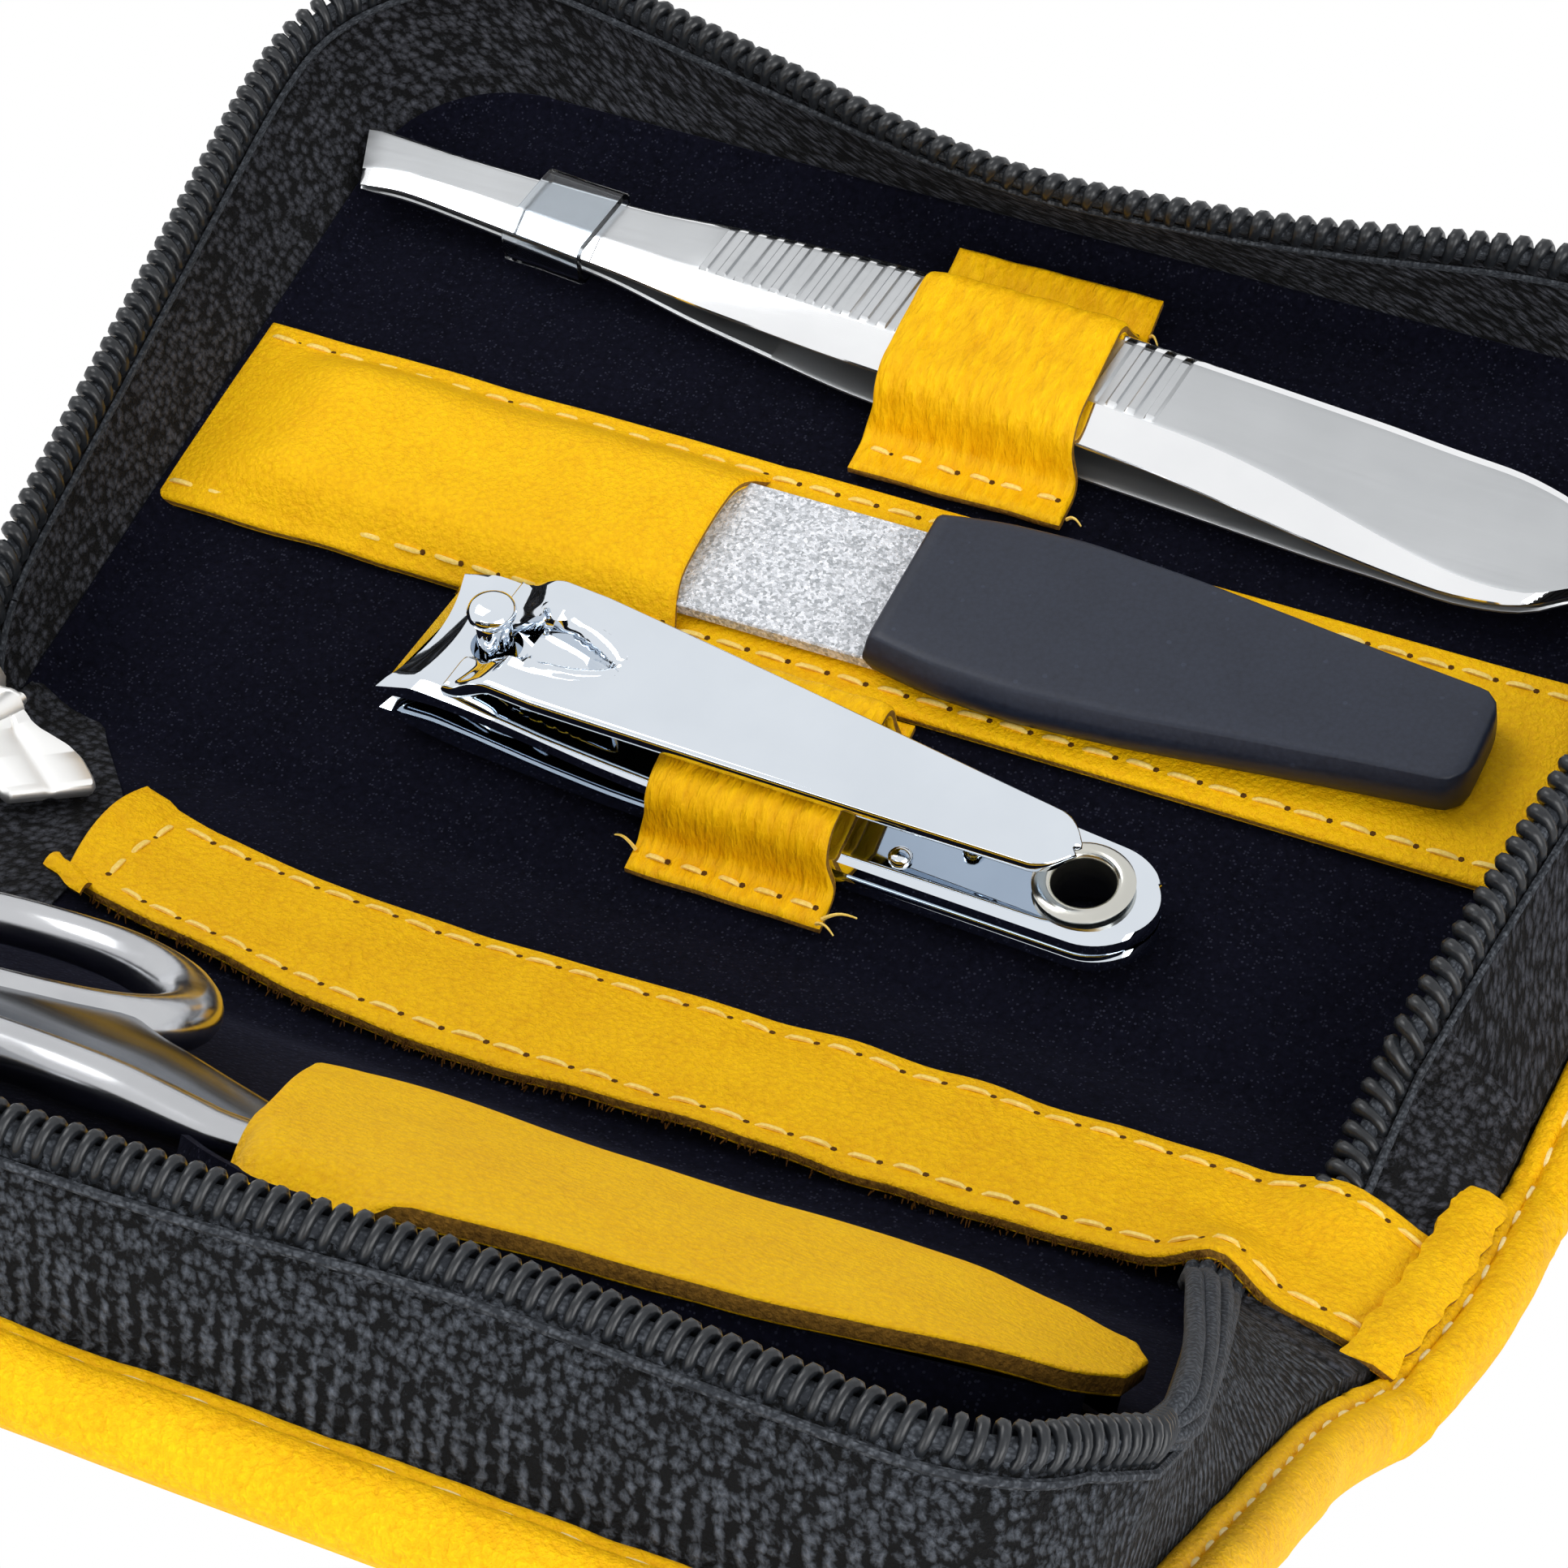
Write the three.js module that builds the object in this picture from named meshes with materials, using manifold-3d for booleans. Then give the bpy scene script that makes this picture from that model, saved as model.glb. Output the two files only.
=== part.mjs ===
// A zip-around leather manicure case lying open, with its tools in their straps.
// Millimetres, +Z up, X along the spine, the rear half flat on the table, the front half raised.
import * as THREE from "three";
import { mergeVertices } from "three/addons/utils/BufferGeometryUtils.js";
import Module from "manifold-3d";

const wasm = await Module();
wasm.setup();

// Driving dimensions

const gap = 0.3; // clearance between pieces that touch
const overrun = 1; // how far a cutting shape runs past what it cuts
const degree = Math.PI / 180;

const shell = {
  hingeHalfWidth: 52, // tape line to the middle, at the spine
  farHalfWidth: 54.8, // tape line to the middle, at the far edge
  depth: 67.9, // hinge line to the far tape line
  cornerRadius: 10,
  borderWidth: 4.2, // leather outside the tape line
  borderHeight: 4.1,
  skin: 1.2, // leather thickness
  hingeHeight: 2, // the fold line above the table
  spineWidth: 25, // between the two fold lines
  openAngle: 43, // how far the front half is raised from flat
};
const board = { thickness: 0.7, inset: 1.2 };
const lining = { thickness: 0.6, foldRelief: 1.6 };
const tape = { thickness: 0.8, bendHeight: 4.4, topHeight: 10.6, rearStart: 7.2, frontStart: 3 };
const coil = { radius: 1.15, height: 12.1 };
const strip = { width: 12.4, fromLeft: 13.8, fromRight: 1.8, thickness: 1.1, crown: 0.5 };

const boardBottom = shell.skin + gap;
const liningBottom = boardBottom + board.thickness + gap;
const liningTop = liningBottom + lining.thickness;
const seat = liningTop + gap; // height at which things lie on the lining
const foldAngle = (shell.openAngle / 2) * degree;
const mitreClearance = 0.75 * gap;

// Colours

const colour = {
  leather: 0xf2b111,
  velvet: 0x0c0c10,
  boardGrey: 0x6b6660,
  tape: 0x232326,
  coil: 0x141416,
  chrome: 0xd8dadd,
  satin: 0xb9bcc0,
  grit: 0xb4b4b6,
  plastic: 0x2b2c2f,
  clear: 0xdfe4e6,
  silver: 0xe4e4e2,
};

// Solid helpers

const v2 = (x, y) => new THREE.Vector2(x, y);
const v3 = (x, y, z) => new THREE.Vector3(x, y, z);

function solid(geometry) {
  const bare = geometry.index ? geometry.toNonIndexed() : geometry.clone();
  bare.deleteAttribute("normal");
  bare.deleteAttribute("uv");
  const merged = mergeVertices(bare, 1e-4);
  const mesh = new wasm.Mesh({
    numProp: 3,
    vertProperties: new Float32Array(merged.attributes.position.array),
    triVerts: new Uint32Array(merged.index.array),
  });
  return new wasm.Manifold(mesh);
}

function geometryOf(body) {
  const mesh = body.getMesh();
  const geometry = new THREE.BufferGeometry();
  geometry.setAttribute("position", new THREE.BufferAttribute(mesh.vertProperties, 3));
  geometry.setIndex(new THREE.BufferAttribute(mesh.triVerts, 1));
  geometry.computeVertexNormals();
  return geometry;
}

const join = (...bodies) => bodies.reduce((a, b) => a.add(b));
const cut = (body, ...tools) => tools.reduce((a, b) => a.subtract(b), body);

// Rings of points joined into one closed skin; closedLoop joins the last ring to the first.
function loft(rings, closedLoop = false) {
  const count = rings[0].length;
  const positions = rings.flat().flatMap((p) => [p.x, p.y, p.z]);
  const index = [];
  const last = closedLoop ? rings.length : rings.length - 1;
  for (let i = 0; i < last; i++) {
    const near = i * count;
    const far = ((i + 1) % rings.length) * count;
    for (let j = 0; j < count; j++) {
      const k = (j + 1) % count;
      index.push(near + j, far + j, far + k, near + j, far + k, near + k);
    }
  }
  if (!closedLoop) {
    const end = (rings.length - 1) * count;
    for (let j = 1; j < count - 1; j++) {
      index.push(0, j, j + 1, end, end + j + 1, end + j);
    }
  }
  if (signedVolume(positions, index) < 0) index.reverse();
  const geometry = new THREE.BufferGeometry();
  geometry.setAttribute("position", new THREE.Float32BufferAttribute(positions, 3));
  geometry.setIndex(index);
  return solid(geometry);
}

function signedVolume(positions, index) {
  const at = (i) => v3(positions[3 * i], positions[3 * i + 1], positions[3 * i + 2]);
  let sum = 0;
  for (let i = 0; i < index.length; i += 3) {
    sum += at(index[i]).dot(at(index[i + 1]).cross(at(index[i + 2])));
  }
  return sum;
}

// A flat outline in X and Y made solid between two heights, with an optional edge bevel.
function plate(points, bottom, top, bevel = 0) {
  const shape = new THREE.Shape(THREE.ShapeUtils.area(points) < 0 ? [...points].reverse() : points);
  const geometry = new THREE.ExtrudeGeometry(shape, {
    depth: top - bottom - 2 * bevel,
    bevelEnabled: bevel > 0,
    bevelThickness: bevel,
    bevelSize: bevel,
    bevelOffset: -bevel,
    bevelSegments: 1,
    curveSegments: 8,
  });
  return solid(geometry.translate(0, 0, bottom + bevel));
}

// An outline in X and Z made solid between two Y values.
function sidePlate(points, yLow, yHigh) {
  return plate(points, -yHigh, -yLow).rotate([90, 0, 0]);
}

// An outline in Y and Z made solid between two X values.
function crossPlate(points, xLow, xHigh) {
  return plate(points, xLow, xHigh).rotate([90, 0, 90]);
}

const block = (xLow, xHigh, yLow, yHigh, bottom, top) =>
  plate([v2(xLow, yLow), v2(xHigh, yLow), v2(xHigh, yHigh), v2(xLow, yHigh)], bottom, top);

// Straight outline corners replaced by arcs; radii holds one radius for each corner.
function rounded(corners, radii, steps = 6) {
  const points = [];
  corners.forEach((corner, i) => {
    const radius = radii[i];
    if (!radius) {
      points.push(corner.clone());
      return;
    }
    const before = corners[(i + corners.length - 1) % corners.length];
    const after = corners[(i + 1) % corners.length];
    const inward = before.clone().sub(corner).normalize();
    const outward = after.clone().sub(corner).normalize();
    const half = Math.acos(THREE.MathUtils.clamp(inward.dot(outward), -1, 1)) / 2;
    const reach = radius / Math.tan(half);
    const centre = inward.clone().add(outward).normalize();
    centre.multiplyScalar(radius / Math.sin(half)).add(corner);
    const from = corner.clone().addScaledVector(inward, reach).sub(centre);
    const to = corner.clone().addScaledVector(outward, reach).sub(centre);
    const turn = from.angleTo(to) * Math.sign(from.cross(to));
    for (let k = 0; k <= steps; k++) {
      points.push(from.clone().rotateAround(v2(0, 0), (turn * k) / steps).add(centre));
    }
  });
  return points;
}

function disc(x, y, radius, bottom, top, sides = 20) {
  const points = [];
  for (let i = 0; i < sides; i++) {
    const angle = (2 * Math.PI * i) / sides;
    points.push(v2(x + radius * Math.cos(angle), y + radius * Math.sin(angle)));
  }
  return plate(points, bottom, top);
}

// A turned piece about the Z axis, from [radius, height] pairs that close on themselves.
function turned(profile, x, y, sides = 20) {
  const points = profile.map(([radius, height]) => v2(radius, height));
  points.push(points[0].clone());
  const geometry = new THREE.LatheGeometry(points, sides);
  const positions = [...geometry.attributes.position.array];
  const index = [...geometry.index.array];
  if (signedVolume(positions, index) < 0) geometry.setIndex(index.reverse());
  return solid(geometry).rotate([90, 0, 0]).translate([x, y, 0]);
}

// A rod along a curve: rings of an ellipse, width across and height up, held level.
function rod(points, widths, heights, sides = 8, closedLoop = false) {
  const rings = points.map((p, i) => {
    const last = points.length - 1;
    const next = closedLoop ? points[(i + 1) % points.length] : points[Math.min(i + 1, last)];
    const before = closedLoop ? points[(i + last) % points.length] : points[Math.max(i - 1, 0)];
    const along = next.clone().sub(before).normalize();
    const across = v3(-along.y, along.x, 0).normalize();
    const up = along.clone().cross(across);
    const ring = [];
    for (let k = 0; k < sides; k++) {
      const angle = (2 * Math.PI * (k + 0.5)) / sides;
      ring.push(
        p
          .clone()
          .addScaledVector(across, (Math.cos(angle) * widths[i]) / 2)
          .addScaledVector(up, (Math.sin(angle) * heights[i]) / 2),
      );
    }
    return ring;
  });
  return loft(rings, closedLoop);
}

// Value at a place in a table of [place, value] pairs, straight between them.
function tableValue(table, place) {
  for (let i = 1; i < table.length; i++) {
    const [p0, q0] = table[i - 1];
    const [p1, q1] = table[i];
    if (place <= p1) return q0 + ((q1 - q0) * Math.max(place - p0, 0)) / (p1 - p0);
  }
  return table[table.length - 1][1];
}

// The two halves of the case

// Corners of a half's outline at some distance outside the tape line, from the fold round and back.
function halfCorners(offset, start) {
  const slope = (shell.farHalfWidth - shell.hingeHalfWidth) / shell.depth;
  const near = shell.hingeHalfWidth + slope * start + offset;
  const far = shell.farHalfWidth + offset;
  const back = shell.depth + offset;
  return [v2(-near, start), v2(-far, back), v2(far, back), v2(near, start)];
}

function halfOutline(offset, start) {
  const radius = shell.cornerRadius + offset;
  return rounded(halfCorners(offset, start), [0, radius, radius, 0]);
}

// Stations along the tape line: a point, the outward direction and the share of the way round.
function tapeStations(start) {
  const corners = halfCorners(0, start);
  const radius = shell.cornerRadius;
  const bends = rounded(corners, [0, radius, radius, 0], 8);
  const points = [];
  bends.forEach((p, i) => {
    if (i > 0) {
      const before = bends[i - 1];
      const pieces = Math.max(1, Math.round(before.distanceTo(p) / (shell.depth / 9)));
      for (let k = 1; k < pieces; k++) points.push(before.clone().lerp(p, k / pieces));
    }
    points.push(p.clone());
  });
  const lengths = [0];
  for (let i = 1; i < points.length; i++) {
    lengths.push(lengths[i - 1] + points[i].distanceTo(points[i - 1]));
  }
  return points.map((p, i) => {
    const next = points[Math.min(i + 1, points.length - 1)];
    const before = points[Math.max(i - 1, 0)];
    const along = next.clone().sub(before).normalize();
    return { p, out: v2(-along.y, along.x), share: lengths[i] / lengths[lengths.length - 1] };
  });
}

// Outward lean of the coil from the tape line, as shares of the coil's height, by share of the way.
const rearLeanShares = [
  [0, 0.14],
  [0.21, 0.52],
  [0.25, 0.5],
  [0.3, 0.36],
  [0.355, 0.13],
  [0.395, -0.05],
  [0.426, -0.21],
  [0.455, -0.31],
  [0.483, -0.37],
  [0.51, -0.34],
  [0.558, -0.25],
  [0.605, -0.07],
  [0.635, 0.07],
  [0.69, 0.1],
  [0.76, 0],
  [0.82, -0.12],
  [0.913, -0.41],
  [1, -0.53],
];
const frontLeanShares = [
  [0, -0.05],
  [0.25, -0.04],
  [0.49, -0.03],
  [0.54, -0.08],
  [0.6, -0.3],
  [0.65, -0.24],
  [0.72, -0.17],
  [0.79, -0.2],
  [0.843, -0.33],
  [0.9, -0.5],
  [1, -0.55],
];

const octagon = Math.cos(Math.PI / 8); // flat to corner of a bead's section
const side = { rear: 1, front: -1 }; // the front half runs towards -Y

// The lean grows from the bend in the tape up to the coil.
function wallPoint(station, lean, height, across, direction) {
  const reach = Math.max(0, (height - tape.bendHeight) / (coil.height - tape.bendHeight));
  const offset = lean * coil.height * reach + across;
  const x = station.p.x + station.out.x * offset;
  return v3(x, direction * (station.p.y + station.out.y * offset), height);
}

function tapeWall(leanShares, direction, start) {
  const half = tape.thickness / 2;
  const levels = [boardBottom, tape.bendHeight, tape.topHeight];
  const rings = tapeStations(start).map((station) => {
    const lean = tableValue(leanShares, station.share);
    const inner = levels.map((z) => wallPoint(station, lean, z, -half, direction));
    const outer = levels.map((z) => wallPoint(station, lean, z, half, direction));
    return [...inner, ...outer.reverse()];
  });
  return loft(rings);
}

function coilPath(leanShares, direction, start) {
  return tapeStations(start).map((station) =>
    wallPoint(station, tableValue(leanShares, station.share), coil.height, 0, direction),
  );
}

function coilBead(leanShares, direction, start) {
  const path = coilPath(leanShares, direction, start);
  const size = path.map(() => (2 * coil.radius) / octagon);
  return rod(path, size, size);
}

// Leather cover: a flat skin with its edge turned up round the tape line.
function halfCover(direction) {
  const width = shell.borderWidth;
  const height = shell.borderHeight;
  const inner = tape.thickness / 2 + gap;
  const sectionShares = [
    [inner / width, 0.2],
    [0.86, 0.2],
    [1, 0.4],
    [1, 0.68],
    [0.85, 0.92],
    [0.55, 1],
    [inner / width, 0.96],
  ];
  const rings = tapeStations(gap).map((station) =>
    sectionShares.map(([across, up]) =>
      v3(
        station.p.x + station.out.x * across * width,
        direction * (station.p.y + station.out.y * across * width),
        up * height,
      ),
    ),
  );
  const floor = halfOutline(width - shell.skin / 3, gap).map((p) => v2(p.x, direction * p.y));
  const whole = join(plate(floor, 0, shell.skin, shell.skin / 3), loft(rings));
  return cut(whole, foldMitre(direction));
}

// What is cut from a border at a fold line, so that two borders close at a right angle.
function foldMitre(direction) {
  const reach = 2 * shell.borderHeight;
  const half = shell.farHalfWidth + shell.borderWidth;
  const clear = mitreClearance;
  const points = [
    v2(direction * clear, shell.hingeHeight),
    v2(direction * (clear + reach), shell.hingeHeight + reach),
    v2(-direction * overrun, shell.hingeHeight + reach),
    v2(-direction * overrun, shell.hingeHeight),
  ];
  return crossPlate(points, -half, half);
}

function halfSheet(inset, bottom, thickness, direction) {
  const outline = halfOutline(-inset, lining.foldRelief);
  return plate(outline.map((p) => v2(p.x, direction * p.y)), bottom, bottom + thickness);
}

const sheetInset = tape.thickness / 2 + gap;

// Straps and pockets in the rear half

const band = {
  nearEdge: 20.6,
  width: 18.3,
  left: -52.2,
  right: 45.6,
  thickness: 1,
  pocketMouth: -12.2,
  pocketLeft: -51,
  pocketFull: -44,
  pocketMargin: 1,
};
const file = {
  offset: 0.5, // how far the file lies off the middle of its band
  thickness: 1,
  bladeWidth: 12.2,
  bladeTip: -43,
  taper: 9,
  handleLeft: 0.4,
  handleRight: 41,
  handleThickness: 3.4,
  handleWidth: 15.6,
  handleNeck: 13.1,
  handleTail: 9.2,
  tangLength: 9,
  tangWidth: 6,
};
const bandMiddle = band.nearEdge + band.width / 2;
const fileMiddle = bandMiddle - file.offset;
const bandTop = seat + band.thickness;
const bladeBottom = bandTop + gap;
const bladeTop = bladeBottom + file.thickness;
const pocketCrown = bladeTop + gap + band.thickness;

function fileBand() {
  const low = band.nearEdge;
  const high = low + band.width;
  const flat = block(band.left, band.right, low, high, seat, bandTop);
  const rise = pocketCrown - bandTop;
  const sectionShares = [
    [0, 0],
    [0.035, 0.5],
    [0.075, 0.8],
    [0.2, 0.94],
    [0.5, 1],
    [0.8, 0.94],
    [0.925, 0.8],
    [0.965, 0.5],
    [1, 0],
  ];
  const from = low + band.pocketMargin;
  const span = band.width - 2 * band.pocketMargin;
  const ring = (x, share) => [
    v3(x, from, seat + gap),
    ...sectionShares.map(([across, up]) => v3(x, from + across * span, bandTop + up * rise * share)),
    v3(x, from + span, seat + gap),
  ];
  const swell = loft([
    ring(band.pocketLeft, 0.05),
    ring((band.pocketLeft + band.pocketFull) / 2, 0.75),
    ring(band.pocketFull, 1),
    ring(band.pocketMouth, 1),
  ]);
  const half = file.bladeWidth / 2 + gap;
  const tunnel = block(
    band.pocketFull,
    band.pocketMouth + gap,
    fileMiddle - half,
    fileMiddle + half,
    seat - overrun,
    bladeTop + gap,
  );
  const belowMouth = block(
    band.pocketMouth,
    band.pocketMouth + gap + overrun,
    fileMiddle - half,
    fileMiddle + half,
    seat,
    bandTop,
  );
  return join(cut(join(flat, swell), tunnel), belowMouth);
}

const fileTangEnd = file.handleLeft + file.tangLength;

function fileBlade() {
  const half = file.bladeWidth / 2;
  const tang = file.tangWidth / 2;
  const shoulder = file.handleLeft - gap;
  const near = file.bladeTip + file.taper;
  const tipShare = 0.3;
  const points = [
    v2(file.bladeTip, fileMiddle - half * tipShare),
    v2(near, fileMiddle - half),
    v2(shoulder, fileMiddle - half),
    v2(shoulder, fileMiddle - tang),
    v2(fileTangEnd, fileMiddle - tang),
    v2(fileTangEnd, fileMiddle + tang),
    v2(shoulder, fileMiddle + tang),
    v2(shoulder, fileMiddle + half),
    v2(near, fileMiddle + half),
    v2(file.bladeTip, fileMiddle + half * tipShare),
  ];
  return plate(points, bladeBottom, bladeTop);
}

function fileHandle() {
  const length = file.handleRight - file.handleLeft;
  const neck = file.handleNeck / 2;
  const belly = file.handleWidth / 2;
  const tail = file.handleTail / 2;
  const shape = new THREE.Shape();
  const x = (share) => file.handleLeft + share * length;
  shape.moveTo(x(0), fileMiddle - neck);
  shape.quadraticCurveTo(x(0.1), fileMiddle - belly, x(0.3), fileMiddle - belly);
  shape.quadraticCurveTo(x(0.6), fileMiddle - belly, x(0.94), fileMiddle - tail);
  shape.quadraticCurveTo(x(1), fileMiddle - 0.8 * tail, x(1), fileMiddle);
  shape.quadraticCurveTo(x(1), fileMiddle + 0.8 * tail, x(0.94), fileMiddle + tail);
  shape.quadraticCurveTo(x(0.6), fileMiddle + belly, x(0.3), fileMiddle + belly);
  shape.quadraticCurveTo(x(0.1), fileMiddle + belly, x(0), fileMiddle + neck);
  const bevel = file.handleThickness / 4;
  const body = plate(shape.getPoints(6), bladeBottom, bladeBottom + file.handleThickness, bevel);
  const tang = file.tangWidth / 2 + gap;
  const slot = block(
    file.handleLeft - overrun,
    fileTangEnd + gap,
    fileMiddle - tang,
    fileMiddle + tang,
    bladeBottom - overrun,
    bladeTop + gap,
  );
  return cut(body, slot);
}

// A leather strap bent over a tool: two tabs on the lining and a raised bridge between them.
function strapLoop(loop) {
  const t = loop.thickness;
  const low = seat;
  const top = loop.clearTop + t;
  const shoulder = (loop.clearTop - low) * 0.3;
  const points = [
    v2(loop.nearTab, low),
    v2(loop.nearFoot, low),
    v2(loop.nearFoot + t * 0.3, loop.clearTop - shoulder),
    v2(loop.nearFoot + t, loop.clearTop),
    v2(loop.farFoot - t, loop.clearTop),
    v2(loop.farFoot - t * 0.3, loop.clearTop - shoulder),
    v2(loop.farFoot, low),
    v2(loop.farTab, low),
    v2(loop.farTab, low + t),
    v2(loop.farFoot + t, low + t),
    v2(loop.farFoot + t * 0.7, loop.clearTop - shoulder * 0.6),
    v2(loop.farFoot - t * 0.4, top),
    v2(loop.nearFoot + t * 0.4, top),
    v2(loop.nearFoot - t * 0.7, loop.clearTop - shoulder * 0.6),
    v2(loop.nearFoot - t, low + t),
    v2(loop.nearTab, low + t),
  ];
  return crossPlate(points, loop.left, loop.right);
}

// Tweezers

const tweezers = {
  tipX: -53.6,
  tipY: 55.2,
  angle: -4.8,
  length: 96.5,
  metal: 0.85,
  gapAtMiddle: 1.55,
  ribHeight: 0.22,
  ribPitch: 1.45,
  fullWidth: 12.4,
};
const tweezersHalf = tweezers.gapAtMiddle + tweezers.metal + tweezers.ribHeight;
const tweezersMiddle = seat + tweezersHalf;
const tweezersTop = tweezersMiddle + tweezersHalf;
// Half the space between the legs, as shares of the middle one, by share of the length.
const legGapShares = [
  [0, 0.08],
  [0.1, 0.09],
  [0.22, 0.14],
  [0.45, 0.9],
  [0.55, 1],
  [0.7, 0.8],
  [0.88, 0.1],
  [1, 0.08],
];
// Width of a leg, as shares of the full width, by share of the length.
const legWidthShares = [
  [0, 0.42],
  [0.05, 0.4],
  [0.155, 0.45],
  [0.24, 0.52],
  [0.31, 0.66],
  [0.43, 0.8],
  [0.55, 0.84],
  [0.7, 0.88],
  [0.82, 0.98],
  [0.92, 1],
  [0.965, 0.8],
  [0.99, 0.5],
  [1, 0.24],
];
const ribRuns = [
  { from: 0.3, to: 0.49 },
  { from: 0.59, to: 0.68 },
];

function tweezerStations() {
  const places = new Set([0, 0.06, 0.1, 0.155, 0.22, 0.26, 0.55, 0.78, 0.84, 0.88, 0.92, 0.965, 0.99, 1]);
  ribRuns.forEach(({ from, to }) => {
    const step = tweezers.ribPitch / tweezers.length / 4;
    for (let s = from; s <= to; s += step) places.add(Math.round(s * 1e5) / 1e5);
  });
  return [...places].sort((a, b) => a - b);
}

function ribAt(share) {
  const run = ribRuns.find(({ from, to }) => share >= from && share <= to);
  if (!run) return 0;
  const turns = ((share - run.from) * tweezers.length) / tweezers.ribPitch;
  return tweezers.ribHeight * Math.max(0, Math.sin(2 * Math.PI * turns));
}

// One leg, above or below the middle height; the outer face carries the finger ribs.
function tweezerLeg(upDown) {
  const rings = tweezerStations().map((share) => {
    const x = share * tweezers.length;
    const half = (tableValue(legWidthShares, share) * tweezers.fullWidth) / 2;
    const inner = tableValue(legGapShares, share) * tweezers.gapAtMiddle;
    const outer = inner + tweezers.metal + ribAt(share);
    return [
      v3(x, -half, tweezersMiddle + upDown * inner),
      v3(x, half, tweezersMiddle + upDown * inner),
      v3(x, half, tweezersMiddle + upDown * outer),
      v3(x, -half, tweezersMiddle + upDown * outer),
    ];
  });
  return placeTweezers(loft(rings));
}

const placeTweezers = (body) =>
  body.rotate([0, 0, tweezers.angle]).translate([tweezers.tipX, tweezers.tipY, 0]);

const sleeve = { from: 14, length: 6.5, wall: 0.4 };

function tweezerSleeve() {
  const end = (sleeve.from + sleeve.length) / tweezers.length;
  const halfWidth = (tableValue(legWidthShares, end) * tweezers.fullWidth) / 2 + gap;
  const halfHeight = tableValue(legGapShares, end) * tweezers.gapAtMiddle + tweezers.metal + gap;
  const middle = tweezersMiddle;
  const tube = (grow, extra) =>
    block(
      sleeve.from - extra,
      sleeve.from + sleeve.length + extra,
      -halfWidth - grow,
      halfWidth + grow,
      middle - halfHeight - grow,
      middle + halfHeight + grow,
    );
  return placeTweezers(cut(tube(sleeve.wall, 0), tube(0, overrun)));
}

const tweezerLoopSize = {
  left: -9,
  right: 6.6,
  nearTab: 41.2,
  nearFoot: 44.1,
  farFoot: 58.9,
  farTab: 62.6,
  thickness: 1,
  clearTop: tweezersTop + gap,
};

// Nail clipper

const clipper = {
  edgeX: -27.4,
  edgeY: 13.4,
  angle: -4.8,
  length: 54,
  frontWidth: 11.4,
  rearWidth: 8.6,
  metal: 1.3,
  edgeDip: 1.3,
  postAt: 6.1,
  postRadius: 1.45,
  postHeadRadius: 1.95,
  eyeletAt: 49,
  eyeletRadius: 2.5,
  eyeletBore: 2.05,
  eyeletFlange: 3.3,
  eyeletLip: 0.35,
  bottom: seat + 0.7,
  jawRise: 1.9,
  noseRise: 1.1,
};
const lever = {
  from: 3.6,
  to: 48.4,
  frontWidth: 10.4,
  tailWidth: 4.6,
  metal: 1.2,
  frontHeight: 11.7,
  tailHeight: 10.7,
  headClearance: 0.5,
};

const placeClipper = (body) =>
  body.rotate([0, 0, clipper.angle]).translate([clipper.edgeX, clipper.edgeY, 0]);

// Plan of both jaws: a hollow cutting edge in front, a round tail behind.
function jawPlan() {
  const front = clipper.frontWidth / 2;
  const rear = clipper.rearWidth / 2;
  const tail = clipper.length - rear;
  const shape = new THREE.Shape();
  shape.moveTo(0, -front);
  shape.lineTo(tail / 3, -front);
  shape.lineTo(tail, -rear);
  shape.absarc(tail, 0, rear, -Math.PI / 2, Math.PI / 2, false);
  shape.lineTo(tail / 3, front);
  shape.lineTo(0, front);
  shape.quadraticCurveTo(2 * clipper.edgeDip, 0, 0, -front);
  return shape.getPoints(8);
}

function jaw(profile) {
  const width = clipper.frontWidth;
  const highest = Math.max(...profile.map((p) => p.y)) + overrun;
  const body = sidePlate(profile, -width, width).intersect(plate(jawPlan(), 0, highest));
  const post = disc(clipper.postAt, 0, clipper.postRadius + gap, 0, highest);
  const eyelet = disc(clipper.eyeletAt, 0, clipper.eyeletRadius + gap, 0, highest);
  return cut(body, post, eyelet);
}

const lowerRearTop = clipper.bottom + clipper.metal;
const upperRearBottom = lowerRearTop + gap;
const upperFrontBottom = upperRearBottom + clipper.jawRise;
const upperFrontTop = upperFrontBottom + clipper.metal;

function lowerJaw() {
  const t = clipper.metal;
  const z = clipper.bottom;
  const nose = clipper.noseRise;
  return placeClipper(
    jaw([
      v2(clipper.length, z),
      v2(clipper.length, z + t),
      v2(3 * t, z + t),
      v2(t, z + nose + t / 2),
      v2(0, z + nose + t / 2),
      v2(0, z + nose / 2),
      v2(2 * t, z),
    ]),
  );
}

function upperJaw() {
  const t = clipper.metal;
  const rear = clipper.length * 0.6;
  const front = clipper.length * 0.16;
  return placeClipper(
    jaw([
      v2(clipper.length, upperRearBottom),
      v2(clipper.length, upperRearBottom + t),
      v2(rear, upperRearBottom + t),
      v2(front, upperFrontTop),
      v2(t, upperFrontTop),
      v2(0, upperFrontTop - t / 2),
      v2(0, upperFrontBottom - t / 2),
      v2(t, upperFrontBottom - t / 2),
      v2(2 * t, upperFrontBottom),
      v2(front, upperFrontBottom),
      v2(rear, upperRearBottom),
    ]),
  );
}

// The post: a head under the lower jaw, a neck through both jaws and a head over the lever.
function clipperPost() {
  const r = clipper.postRadius;
  const head = clipper.postHeadRadius;
  const top = lever.frontHeight + lever.headClearance;
  return placeClipper(
    turned(
      [
        [0, seat],
        [head, seat],
        [head, clipper.bottom - gap],
        [r, clipper.bottom - gap],
        [r, top],
        [head, top + gap],
        [head, top + 2 * gap],
        [head / 2, top + 3 * gap],
        [0, top + 3 * gap],
      ],
      clipper.postAt,
      0,
    ),
  );
}

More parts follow.
